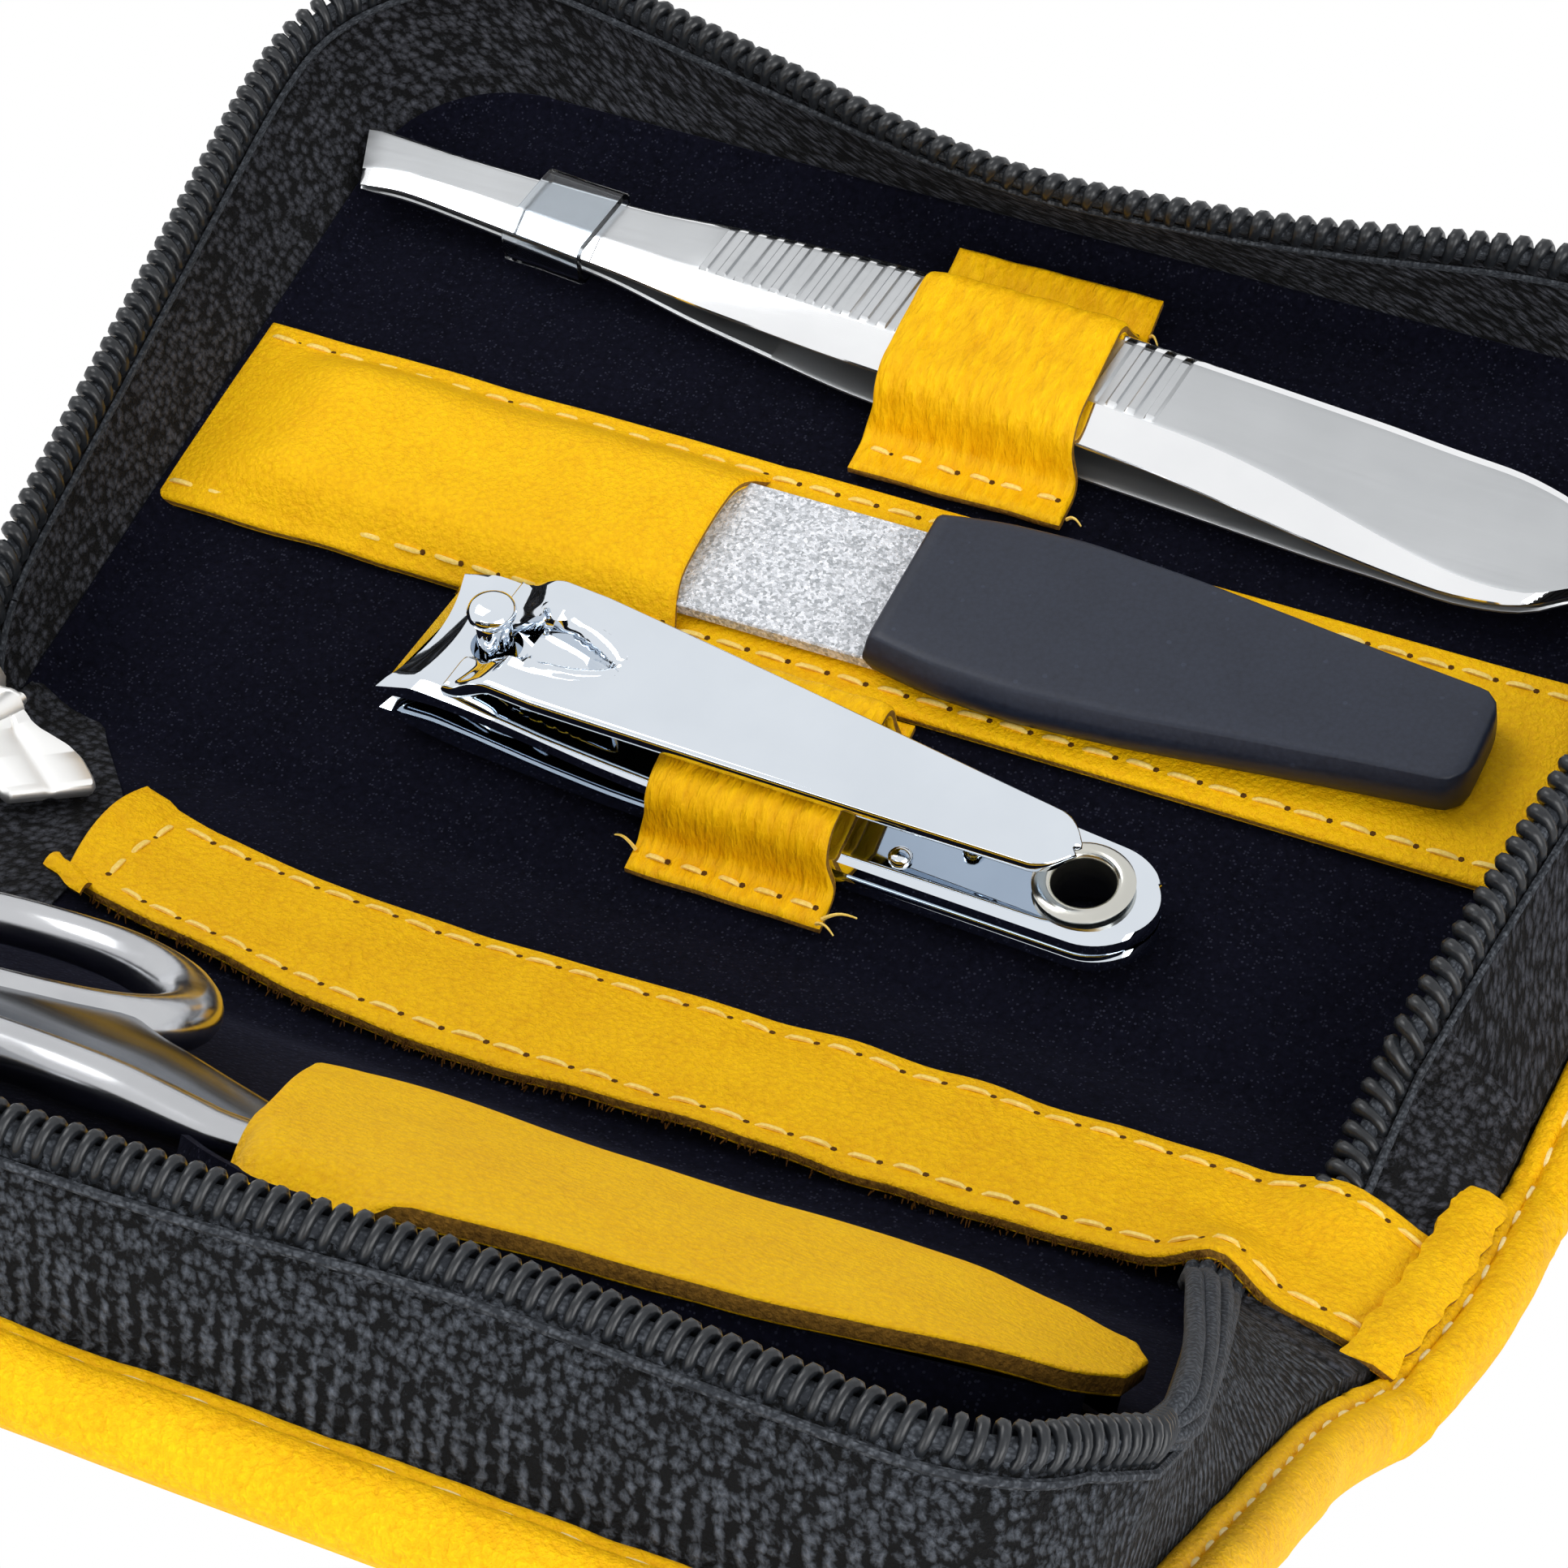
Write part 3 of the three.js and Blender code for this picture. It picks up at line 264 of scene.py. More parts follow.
def loft(pile, rings, slot=0, closed=False, places=None):
    rings = np.asarray(rings, float)
    rows, columns = rings.shape[:2]
    faces = [tuple(f) for f in gridFaces(rows, columns, closed, True)]
    if not closed:
        faces += [tuple(range(columns)), tuple(range(rows * columns - 1, (rows - 1) * columns - 1, -1))]
    if places is None:
        places = np.stack(np.meshgrid(lengths(rings[:, 0]), lengths(rings[rows // 2]), indexing="ij"), 2)
    pile.add(rings, faces, slot, places)


def hoops(path, side, up, radii, sides, flat=1.0):  # a ring of points round each place of a path
    turn = turnsOf(sides, 0.5)[:, None]
    return path[:, None] + radii * (np.cos(turn) * side[:, None] + flat * np.sin(turn) * up[:, None])


def tube(pile, points, radii, sides, ref=(0, 0, 1), slot=0, closed=False, flat=1.0):
    points, ref = np.asarray(points, float), np.asarray(ref, float)
    along = np.roll(points, -1, 0) - np.roll(points, 1, 0) if closed else np.gradient(points, axis=0)
    along = unit(along)
    up = unit(ref - along * np.sum(ref * along, 1, keepdims=True))
    radii = np.broadcast_to(np.asarray(radii, float), len(points))[:, None, None]
    loft(pile, hoops(points, np.cross(along, up), up, radii, sides, flat), slot, closed)


def roundRings(profile, sides, centre=(0, 0)):  # a ring for each radius and height
    x, y = np.cos(turnsOf(sides)), np.sin(turnsOf(sides))
    return np.array([gridOf(r * x + centre[0], r * y + centre[1], h) for r, h in profile])


def thicken(pile, grid, thickness, rims="abcd", rim=0.4, keep=0.3, edgeSlot=0, openAt=None):
    rows, columns = grid.shape[:2]
    alongA, alongB = np.zeros((rows, columns)), np.zeros((rows, columns))
    alongA[1:] = np.cumsum(np.linalg.norm(np.diff(grid, axis=0), axis=2), 0)
    alongB[:, 1:] = np.cumsum(np.linalg.norm(np.diff(grid, axis=1), axis=2), 1)
    fromRim = np.full((rows, columns), rim)
    for letter, distance in zip("abcd", (alongA, alongA[-1:] - alongA, alongB, alongB[:, -1:] - alongB)):
        if letter in rims:
            fromRim = np.minimum(fromRim, distance)
    half = (keep + (1 - keep) * domed(1 - fromRim / rim))[..., None] * thickness / 2
    up = unit(np.cross(np.gradient(grid, axis=0), np.gradient(grid, axis=1)))
    if up[..., 2].mean() < 0:
        up = -up
    top, under = grid + up * half, grid - up * half
    quads, below = gridFaces(rows, columns), rows * columns
    if openAt is not None:
        quads = quads[~openAt[:-1, :-1].ravel()]
    sides = np.concatenate([quads[:, [i, (i + 1) % 4]] for i in range(4)]).tolist()
    used = {tuple(pair) for pair in sides}
    walls = [(a, b, b + below, a + below) for a, b in sides if (b, a) not in used]
    points = np.concatenate([top.reshape(-1, 3), under.reshape(-1, 3)])
    places = np.tile(np.stack([alongA, alongB], 2).reshape(-1, 2), (2, 1))
    pile.add(points, np.concatenate([quads, quads[:, ::-1] + below]), 0, places)
    pile.faces += [tuple(i + pile.count - 2 * below for i in wall) for wall in walls]
    pile.slots += [edgeSlot] * len(walls)
    return top, up


def sample(grid, rows, columns):
    i = np.clip(np.floor(rows).astype(int), 0, grid.shape[0] - 2)
    j = np.clip(np.floor(columns).astype(int), 0, grid.shape[1] - 2)
    fi, fj = (rows - i)[:, None], (columns - j)[:, None]
    near = grid[i, j] * (1 - fj) + grid[i, j + 1] * fj
    far = grid[i + 1, j] * (1 - fj) + grid[i + 1, j + 1] * fj
    return near * (1 - fi) + far * fi


# the hole sizes are for small dark discs of painted shade that stand for the needle holes
stitch = {
    "pitch": 2.8, "length": 2.2, "radius": 0.2, "lift": 0.14, "hole": 0.23,
    "holeLifts": (-0.1, 0.012, 0.03), "holeShares": (0.8, 1.0, 0.6),
}


def sew(pile, points, ups, pitch=None, length=None, holes=True, radius=None):  # thread slot 0, needle holes slot 1 as small dark discs of painted shade
    s, pitch, length = lengths(points), pitch or stitch["pitch"], length or stitch["length"]
    radius = radius or stitch["radius"]
    count = max(1, int(s[-1] / pitch))
    bow = np.linspace(-1, 1, 6)
    for k in range(count):
        centre = (k + 0.5) * s[-1] / count + dice.uniform(-0.08, 0.08)
        reach = length / 2 * dice.uniform(0.88, 1.08)
        at = np.clip(centre + bow * reach, 0, s[-1])
        path, up = placesAt(at, s, points), unit(placesAt(at, s, ups))
        along = unit(path[-1] - path[0])
        side = unit(np.cross(along, up))
        path = path + side * dice.uniform(-0.05, 0.05) + side * bow[:, None] * dice.uniform(-0.08, 0.08)
        path = path + up * (stitch["lift"] * (1 - 1.7 * bow**4) - 0.02)[:, None]
        loft(pile, hoops(path, side, up, radius * (1 - 0.35 * bow**4)[:, None, None], 6, 0.75))
        # each needle hole is a dark disc laid on the surface: painted shade, no hole is cut
        if holes:
            hole = placesAt(at[-1] + 0.16 * (pitch - length), s, points)
            rounds = hole + np.outer(stitch["holeLifts"], up[-1])
            sizes = np.array(stitch["holeShares"])[:, None, None] * stitch["hole"]
            loft(pile, hoops(rounds, side[-1:], along[None], sizes, 6), slot=1)


def seam(pile, sheet, rowSteps, columnSteps, places, **how):  # stitches along places (row, column) of a sheet
    places = resample(np.array(places, float), 0.4)
    rows = np.interp(places[:, 0], rowSteps, np.arange(len(rowSteps)))
    columns = np.interp(places[:, 1], columnSteps, np.arange(len(columnSteps)))
    sew(pile, sample(sheet[0], rows, columns), sample(sheet[1], rows, columns), **how)


# Finishes

def node(tree, kind, inputs=None, **settings):
    made = tree.nodes.new("ShaderNode" + kind)
    for key, value in settings.items():
        setattr(made, key, value)
    for key, value in (inputs or {}).items():
        if isinstance(value, bpy.types.NodeSocket):
            tree.links.new(value, made.inputs[key])
        else:
            made.inputs[key].default_value = value
    return made


def maths(tree, operation, a, b=0.0):
    return node(tree, "Math", {0: a, 1: b}, operation=operation).outputs[0]


def vectorMaths(tree, operation, a, b):
    return node(tree, "VectorMath", {0: a, 1: b}, operation=operation).outputs[0]


def noiseOf(tree, place, scale, detail, output="Fac"):
    return node(tree, "TexNoise", {"Vector": place, "Scale": scale, "Detail": detail}).outputs[output]


def between(tree, value, **limits):
    labels = {label.replace("_", " "): limit for label, limit in limits.items()}
    return node(tree, "MapRange", {"Value": value, **labels}).outputs["Result"]


def newGroup(name, **inputs):
    group = bpy.data.node_groups.new(name, "ShaderNodeTree")
    for label, value in inputs.items():
        group.interface.new_socket(label, in_out="INPUT", socket_type="NodeSocketFloat").default_value = value
    return group, group.nodes.new("NodeGroupInput").outputs


def giveOut(group, **outputs):
    for label in outputs:
        group.interface.new_socket(label, in_out="OUTPUT", socket_type="NodeSocketFloat")
    sockets = group.nodes.new("NodeGroupOutput").inputs
    for label, value in outputs.items():
        group.links.new(value, sockets[label])
    return group


def buildGrainGroup():  # pebbled hide: cells, fine pores and slow changes of tone
    group, given = newGroup("hideGrain", Size=1.0, Stretch=1.0)
    scale = maths(group, "DIVIDE", 1000.0, given["Size"])
    drawn = maths(group, "MULTIPLY", scale, given["Stretch"])
    spread = node(group, "CombineXYZ", {0: scale, 1: drawn, 2: drawn}).outputs[0]
    place = vectorMaths(group, "MULTIPLY", node(group, "TexCoord").outputs["Object"], spread)
    bent = vectorMaths(group, "MULTIPLY", noiseOf(group, place, 0.8, 2.0, "Color"), (0.5, 0.5, 0.5))
    place = vectorMaths(group, "ADD", place, bent)
    cells = node(group, "TexVoronoi", {"Vector": place, "Scale": 1.0, "Smoothness": 0.6}, feature="SMOOTH_F1")
    cells = maths(group, "MULTIPLY", maths(group, "SUBTRACT", 1.0, cells.outputs["Distance"]), 0.55)
    height = maths(group, "ADD", cells, maths(group, "MULTIPLY", noiseOf(group, place, 2.6, 4.0), 0.6))
    slow = maths(group, "MULTIPLY", noiseOf(group, place, 0.09, 3.0), 0.7)
    grainy = maths(group, "SUBTRACT", maths(group, "MULTIPLY", height, 1.4), 0.62)
    return giveOut(group, Height=height, Tone=maths(group, "ADD", slow, grainy))


def buildWeaveGroup():  # crossing yarns in mm along and across a tape
    group, given = newGroup("tapeWeave", Pitch=0.42, Rib=0.3, RibPitch=1.0)
    place = node(group, "UVMap", uv_map="lay").outputs["UV"]
    jitter = vectorMaths(group, "MULTIPLY", noiseOf(group, place, 1.3, 2.0, "Color"), (0.5, 0.4, 0.0))
    place = vectorMaths(group, "ADD", place, jitter)
    split = node(group, "SeparateXYZ", {0: place}).outputs
    finer = maths(group, "DIVIDE", 1.0, given["Pitch"])
    loops = node(group, "TexVoronoi", {"Vector": place, "Scale": finer, "Randomness": 0.75})
    loops = maths(group, "MULTIPLY", maths(group, "SUBTRACT", 0.9, loops.outputs["Distance"]), 1.3)
    turns = maths(group, "DIVIDE", maths(group, "MULTIPLY", split[0], 2 * math.pi), given["RibPitch"])
    rib = maths(group, "MULTIPLY", maths(group, "SINE", turns), given["Rib"])
    rib = maths(group, "MULTIPLY", rib, between(group, split[1], From_Min=7.0, From_Max=4.5))
    height = maths(group, "ADD", maths(group, "ADD", loops, rib), noiseOf(group, place, 5.5, 4.0))
    return giveOut(group, Height=height, Tone=between(group, height, From_Min=0.8, From_Max=1.7))


def buildMetalGroup():  # smears and hairline scratches that change how sharp a reflection is
    group, given = newGroup("metalHandling", Scratch=0.5)
    place = node(group, "TexCoord").outputs["Object"]
    lengthwise = {"Vector": place, "Rotation": (0, 0, 0.084), "Scale": (60.0, 2400.0, 2400.0)}
    hair = noiseOf(group, node(group, "Mapping", lengthwise).outputs[0], 1.0, 3.0)
    smear = noiseOf(group, place, 160.0, 4.0)
    scratched = maths(group, "MULTIPLY", hair, given["Scratch"])
    rough = maths(group, "ADD", scratched, maths(group, "MULTIPLY", smear, 0.12))
    return giveOut(group, Rough=rough, Height=hair, Tone=smear)


def buildFleckGroup():  # sparse light flecks: lint on velvet, crystals on grit
    group, given = newGroup("flecks", Size=0.5, Share=0.05)
    scale = maths(group, "DIVIDE", 1000.0, given["Size"])
    place = node(group, "TexCoord").outputs["Object"]
    cells = node(group, "TexVoronoi", {"Vector": place, "Scale": scale}).outputs
    dots = node(group, "SeparateColor", {0: cells["Color"]}).outputs
    chosen = maths(group, "LESS_THAN", dots[0], given["Share"])
    small = maths(group, "LESS_THAN", cells["Distance"], 0.45)
    return giveOut(group, Mask=maths(group, "MULTIPLY", chosen, small), Tone=dots[1])


grainGroup, weaveGroup = buildGrainGroup(), buildWeaveGroup()
metalGroup, fleckGroup = buildMetalGroup(), buildFleckGroup()


def newMaterial(name, sockets):
    material = bpy.data.materials.new(name)
    material.use_nodes = True
    shader = material.node_tree.nodes["Principled BSDF"]
    for label, value in sockets.items():
        shader.inputs[label].default_value = value
    return material, material.node_tree, shader


def placed(tree, group, **values):
    made = node(tree, "Group", node_tree=group)
    for label, value in values.items():
        made.inputs[label].default_value = value
    return made.outputs


def mixed(tree, factor, low, high):  # two colours, or a socket and a colour
    low, high = (side if isinstance(side, bpy.types.NodeSocket) else (*side, 1) for side in (low, high))
    return node(tree, "Mix", {0: factor, 6: low, 7: high}, data_type="RGBA").outputs[2]


def tinted(tree, shader, factor, low, high):
    tree.links.new(mixed(tree, factor, low, high), shader.inputs["Base Color"])


def roughened(tree, shader, factor, low, high):
    tree.links.new(between(tree, factor, To_Min=low, To_Max=high), shader.inputs["Roughness"])


def embossed(tree, shader, height, strength, distance):
    bump = node(tree, "Bump", {"Height": height, "Strength": strength, "Distance": distance * mm})
    tree.links.new(bump.outputs[0], shader.inputs["Normal"])


def leatherFinish(name, dark, light, size, relief, strength, rough=(0.42, 0.62), stretch=1.0):
    material, tree, shader = newMaterial(name, {"Specular IOR Level": 0.12})
    grain = placed(tree, grainGroup, Size=size, Stretch=stretch)
    tinted(tree, shader, grain["Tone"], dark, light)
    roughened(tree, shader, grain["Height"], *rough)
    embossed(tree, shader, grain["Height"], strength, relief)
    return material


def weaveFinish(name, dark, light, pitch, rib, relief):
    material, tree, shader = newMaterial(name, {"Specular IOR Level": 0.2, "Roughness": 0.85})
    yarn = placed(tree, weaveGroup, Pitch=pitch, Rib=rib, RibPitch=1.05)
    tinted(tree, shader, yarn["Tone"], dark, light)
    embossed(tree, shader, yarn["Height"], 0.9, relief)
    return material


def metalFinish(name, dark, light, scratch, rough, relief=0.004, strength=0.15):
    material, tree, shader = newMaterial(name, {"Metallic": 1.0})
    wear = placed(tree, metalGroup, Scratch=scratch)
    tinted(tree, shader, wear["Tone"], dark, light)
    roughened(tree, shader, wear["Rough"], *rough)
    embossed(tree, shader, wear["Height"], strength, relief)
    return material


def velvetFinish():
    material, tree, shader = newMaterial("blackVelvet", {
        "Roughness": 1.0, "Specular IOR Level": 0.06,
        "Sheen Weight": 0.05, "Sheen Roughness": 0.35, "Sheen Tint": (0.5, 0.55, 0.9, 1),
    })
    lint, nap = placed(tree, fleckGroup, Size=0.2, Share=0.22), placed(tree, grainGroup, Size=0.5)
    base = mixed(tree, nap["Tone"], (0.001, 0.0011, 0.003), (0.0045, 0.0048, 0.011))
    tinted(tree, shader, maths(tree, "MULTIPLY", lint["Mask"], lint["Tone"]), base, (0.02, 0.021, 0.034))
    embossed(tree, shader, nap["Height"], 0.5, 0.1)
    return material


def gritFinish():
    material, tree, shader = newMaterial("fileGrit", {"Roughness": 0.45, "Metallic": 0.35})
    fine, coarse = placed(tree, fleckGroup, Size=0.22, Share=0.45), placed(tree, grainGroup, Size=0.3)
    tinted(tree, shader, fine["Tone"], (0.34, 0.36, 0.38), (0.86, 0.88, 0.92))
    roughened(tree, shader, fine["Mask"], 0.6, 0.2)
    embossed(tree, shader, maths(tree, "ADD", fine["Tone"], coarse["Height"]), 0.9, 0.12)
    return material


def plasticFinish(name, dark, light, rough):
    material, tree, shader = newMaterial(name, {"Specular IOR Level": 0.35})
    grain, lint = placed(tree, grainGroup, Size=0.35), placed(tree, fleckGroup, Size=0.4, Share=0.008)
    halves = [maths(tree, "MULTIPLY", socket, 0.5) for socket in (grain["Tone"], lint["Mask"])]
    tinted(tree, shader, maths(tree, "ADD", *halves), dark, light)
    roughened(tree, shader, grain["Height"], *rough)
    embossed(tree, shader, grain["Height"], 0.25, 0.03)
    return material


def clearFinish():
    material, tree, shader = newMaterial("clearSleeve", {
        "Transmission Weight": 1.0, "IOR": 1.35, "Base Color": (0.86, 0.9, 0.94, 1), "Roughness": 0.1,
    })
    roughened(tree, shader, placed(tree, metalGroup, Scratch=0.4)["Rough"], 0.06, 0.3)
    return material


# Leather: dark and light tone, grain size, relief and its strength, roughness
hide = leatherFinish("yellowHide", (0.76, 0.355, 0.0), (1.0, 0.575, 0.002), 0.4, 0.3, 0.8)
softHide = leatherFinish("softHide", (0.8, 0.38, 0.0), (1.0, 0.585, 0.002), 0.38, 0.26, 0.75)
ribbedHide = leatherFinish("strapHide", (0.74, 0.34, 0.0), (1.0, 0.57, 0.002), 0.6, 0.4, 0.85, stretch=0.3)
cutHide = leatherFinish("cutEdgeSuede", (0.1, 0.045, 0.008), (0.36, 0.18, 0.025), 0.3, 0.2, 0.9, (0.85, 1.0))
velvet = velvetFinish()
tapeWeave = weaveFinish("wovenTape", (0.001, 0.0014, 0.002), (0.125, 0.14, 0.165), 0.5, 0.28, 0.6)
knitTape = weaveFinish("knitTape", (0.001, 0.0012, 0.0018), (0.1, 0.105, 0.125), 0.62, 0.05, 0.7)
coilNylon = plasticFinish("coilNylon", (0.008, 0.009, 0.011), (0.03, 0.034, 0.038), (0.22, 0.38))
cordNylon = weaveFinish("sewingCord", (0.02, 0.023, 0.028), (0.1, 0.11, 0.125), 0.3, 0.1, 0.08)
thread = leatherFinish("creamThread", (0.8, 0.56, 0.16), (0.98, 0.82, 0.42), 0.25, 0.05, 0.6, (0.5, 0.7))
goldThread = leatherFinish("goldThread", (0.8, 0.5, 0.05), (1.0, 0.76, 0.24), 0.25, 0.05, 0.6, (0.5, 0.7))
# the needle holes' dark brown is painted shade; the same finish is the real colour of the strip's cut-edge
# fibres
holeShadeDark, holeShadeLight = (0.05, 0.018, 0.003), (0.12, 0.05, 0.006)
holeShadeAndFibre = leatherFinish("holeShadeAndFibre", holeShadeDark, holeShadeLight, 0.3, 0.05, 0.4, (0.8, 0.95))
# Metal: dark and light tone, scratches, roughness, relief and its strength
chrome = metalFinish("chrome", (0.64, 0.69, 0.75), (0.74, 0.79, 0.85), 0.12, (0.02, 0.1))
satinSteel = metalFinish("satinSteel", (0.44, 0.455, 0.47), (0.54, 0.555, 0.57), 0.9, (0.28, 0.5), 0.01, 0.35)
polishedSteel = metalFinish("polishedSteel", (0.8, 0.81, 0.83), (0.92, 0.93, 0.94), 0.2, (0.04, 0.2))
zipSilver = metalFinish("zipSilver", (0.93, 0.93, 0.92), (0.99, 0.99, 0.98), 0.5, (0.38, 0.55))
brushedSteel = metalFinish("brushedSteel", (0.4, 0.41, 0.43), (0.62, 0.63, 0.65), 0.9, (0.1, 0.3), 0.01, 0.3)
# near-black steel for the lower half's plate: the dark reflection of the velvet painted into its colour
paintedReflectionSteel = metalFinish("paintedReflectionSteel", (0.03, 0.033, 0.04), (0.2, 0.215, 0.24), 0.9, (0.12, 0.3))
eyeletMetal = metalFinish("eyeletMetal", (0.5, 0.5, 0.46), (0.66, 0.65, 0.6), 0.5, (0.12, 0.35))
gritSteel = gritFinish()
handlePlastic = plasticFinish("handlePlastic", (0.006, 0.009, 0.019), (0.022, 0.029, 0.05), (0.36, 0.5))
boardGrey = leatherFinish("greyBoard", (0.1, 0.09, 0.08), (0.2, 0.18, 0.16), 0.4, 0.05, 0.4, (0.85, 0.95))
clear = clearFinish()
for board in ("rear_board", "spine_board", "front_board"):
    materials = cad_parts[board].data.materials
    materials.clear()
    materials.append(boardGrey)
print("stage: finishes")


# The case: outline, leather edge, skin and velvet

def tapeLine():  # once round the open case, from the left of the spine over the rear and back by the front
    hinge, far, spine = case["hingeHalf"], case["farHalf"], case["spine"]
    rearFar, frontFar, middle, r = case["depth"], -spine - case["depth"], -spine / 2, case["corner"]
    corners = [
        (-hinge, middle), (-hinge, 0), (-far, rearFar), (far, rearFar), (hinge, 0),
        (hinge, -spine), (far, frontFar), (-far, frontFar), (-hinge, -spine), (-hinge, middle),
    ]
    return resample(roundedPath(corners, [0, 0, r, r, 0, 0, r, r, 0, 0], 16), 0.7)


line = tapeLine()
lineOut = unit(np.gradient(line, axis=0)) @ np.array([[0, 1], [-1, 0]])
lineAt = lengths(line)


def stationsBetween(sides, wFrom, wTo):  # numbers of the stations between two places on the left or right
    picked = []
    for side, w in zip(sides, (wFrom, wTo)):
        wrongSide = line[:, 0] * side < 0
        picked.append(int(np.argmin(np.abs(line[:, 1] - w) + 1e3 * wrongSide)))
    return np.arange(min(picked), max(picked) + 1)


def stationsOfLeftFrontFold():  # the line begins and ends on the left, at the middle of the spine
    back = np.flatnonzero((line[:, 0] < 0) & (line[:, 1] <= -case["spine"] / 2) & (lineAt > lineAt[-1] / 2))
    return back[line[back, 1] >= -case["spine"] - edge["foldReach"]]


edge = {
    "foldReach": 4.0,
    "section": [
        (0.5, 0.5), (0.45, 3.2), (0.55, 3.75), (0.95, 4.05), (1.5, 4.1), (1.82, 3.92), (2.0, 3.7),
        (2.18, 3.92), (2.6, 4.12), (3.2, 4.12), (3.8, 3.85), (4.3, 3.3), (4.55, 2.6), (4.6, 1.8),
        (4.45, 1.1), (4.1, 0.5), (3.5, 0.12), (2.5, 0.02), (1.5, 0.3),
    ],
    "stitchAt": 2.0,
    "creases": [1.6, -0.3, -1.9, -23.0, -24.6, -26.4, -28.0, -30.5],
    "creaseWide": 0.32, "creaseDeep": 0.22, "bends": (-3, -26), "bendWide": 5,
}


def edgeRings(numbers):
    across, up = np.array(edge["section"]).T
    x, w = (line[numbers][:, None] + lineOut[numbers][:, None] * across[None, :, None]).transpose(2, 0, 1)
    rings = gridOf(x, w, up)
    bent = sum(mound(w, bend, edge["bendWide"]) for bend in edge["bends"])
    wrinkles = (rumple(rings, 1.7, 0.07, 3) + rumple(rings, 0.9, 0.12, 4) * bent) * (1 + bent)
    swell = rumple(rings, 5.0, 0.16) + wrinkles
    for k, crease in enumerate(edge["creases"]):
        swell -= mound(w + 0.25 * np.sin(across * 2 + k), crease, edge["creaseWide"]) * edge["creaseDeep"]
    swell = swell * ease((up - 0.2) / 0.8)
    rings[..., :2] += lineOut[numbers][:, None] * (swell * np.clip(across - 1.2, 0, 3) / 3)[..., None]
    rings[..., 2] += swell
    return rings


def edgePiece(name, numbers, body):
    rings, section = edgeRings(numbers), np.array(edge["section"])
    pile, threads = Pile(), Pile()
    places = np.stack(np.meshgrid(lineAt[numbers], lengths(section), indexing="ij"), 2)
    loft(pile, lay(rings, "case"), places=places)
    settle(pile.piece(name, [hide]), body)
    seamPlace = int(np.argmin(np.abs(section[:, 0] - edge["stitchAt"])))
    run = lay(rings[:, seamPlace], "case")
    lifted = lay(rings[:, seamPlace] + [0, 0, 1], "case") - run
    sew(threads, run, unit(lifted), pitch=3.1, length=1.9, holes=False, radius=0.15)
    settle(threads.piece(name + "Stitches", [thread, holeShadeAndFibre]), body)


def halfWidth(w, offset):
    y = np.maximum(np.maximum(w, -case["spine"] - w), 0)
    slope = (case["farHalf"] - case["hingeHalf"]) / case["depth"]
    r = case["corner"] + offset
    over = np.clip(y - (case["depth"] + offset - r), 0, r)
    return case["hingeHalf"] + slope * y + offset - r + np.sqrt(r * r - over * over)


def insideBy(x, w):  # distance in from the tape line
    y = np.maximum(np.maximum(w, -case["spine"] - w), 0)
    slope, r = (case["farHalf"] - case["hingeHalf"]) / case["depth"], case["corner"]
    qx, qy = np.abs(x) - (case["hingeHalf"] + slope * y - r), y - (case["depth"] - r)
    corner = np.hypot(np.maximum(qx, 0), np.maximum(qy, 0)) + np.minimum(np.maximum(qx, qy), 0)
    return r - corner


def caseSheet(offset, wFrom, wTo, height, wStep=1.5):
    shares = np.concatenate([[-1], -1 + np.geomspace(0.004, 0.12, 9)])
    shares = np.concatenate([shares, np.linspace(-0.82, 0.82, 45), -shares[::-1]])
    far = case["depth"] + offset
    ends = far - np.concatenate([[0.0], np.geomspace(0.15, 5, 9)])[::-1]
    w = np.arange(wFrom, wTo, -wStep) if wFrom < far else np.arange(far - 6, wTo, -wStep)
    if wFrom >= far:
        w = np.concatenate([ends[::-1], w])
    if wTo <= -case["spine"] - far:
        w = np.concatenate([w[w > -case["spine"] - far + 5.5], -case["spine"] - ends])
    else:
        w = np.append(w[w > wTo + 0.2], wTo)
    x = shares[None] * halfWidth(w, offset)[:, None]
    w = np.broadcast_to(w[:, None], x.shape)
    return np.stack([x, w, height(x, w)], 2)


skin = {"thickness": 1.2, "offset": 3.5, "middle": 0.62, "rim": 0.6, "keep": 0.35}
lining = {
    "thickness": 0.6, "offset": -0.45, "middle": 2.8, "rim": 0.4, "keep": 0.3,
    "cove": 1.7, "coveReach": 1.1,
}


def skinHeight(x, w):
    return np.full(x.shape, skin["middle"])


def liningHeight(x, w):
    rise = np.exp(-np.maximum(insideBy(x, w) + lining["offset"], 0) / lining["coveReach"])
    underStrip = ease((w + 26) / 2) * ease((-4 - w) / 2)
    soft = ripple(x, w, 9.0, 0.12, 5) * (1 - rise)
    return lining["middle"] + lining["cove"] * rise * (1 - underStrip) + soft


farRear, farFront = case["depth"] + 20, -case["spine"] - case["depth"] - 20
middle, reach = -case["spine"] / 2, edge["foldReach"]
frontReach = -case["spine"] - reach
layers = [  # piece, sizes, height, finish, slot, CAD node
    ("Skin", skin, skinHeight, hide, "leather", "_cover"),
    ("Velvet", lining, liningHeight, velvet, "velvet", "_lining"),
]
for name, body, wFrom, wTo, rims, stem in (
    ("rear", "rear", farRear, reach, "acd", "rear"),
    ("rearFold", rearFold, reach, middle, "cd", "spine"),
    ("frontFold", frontFold, middle, frontReach, "cd", None),
    ("front", "front", frontReach, farFront, "bcd", "front"),
):
    for label, size, height, finish, slot, ending in layers:
        pile = Pile()
        sheet = lay(caseSheet(size["offset"], wFrom, wTo, height), "case")
        thicken(pile, sheet, size["thickness"], rims, size["rim"], size["keep"])
        settle(pile.piece(name + label, [finish]), body, stem and stem + ending)

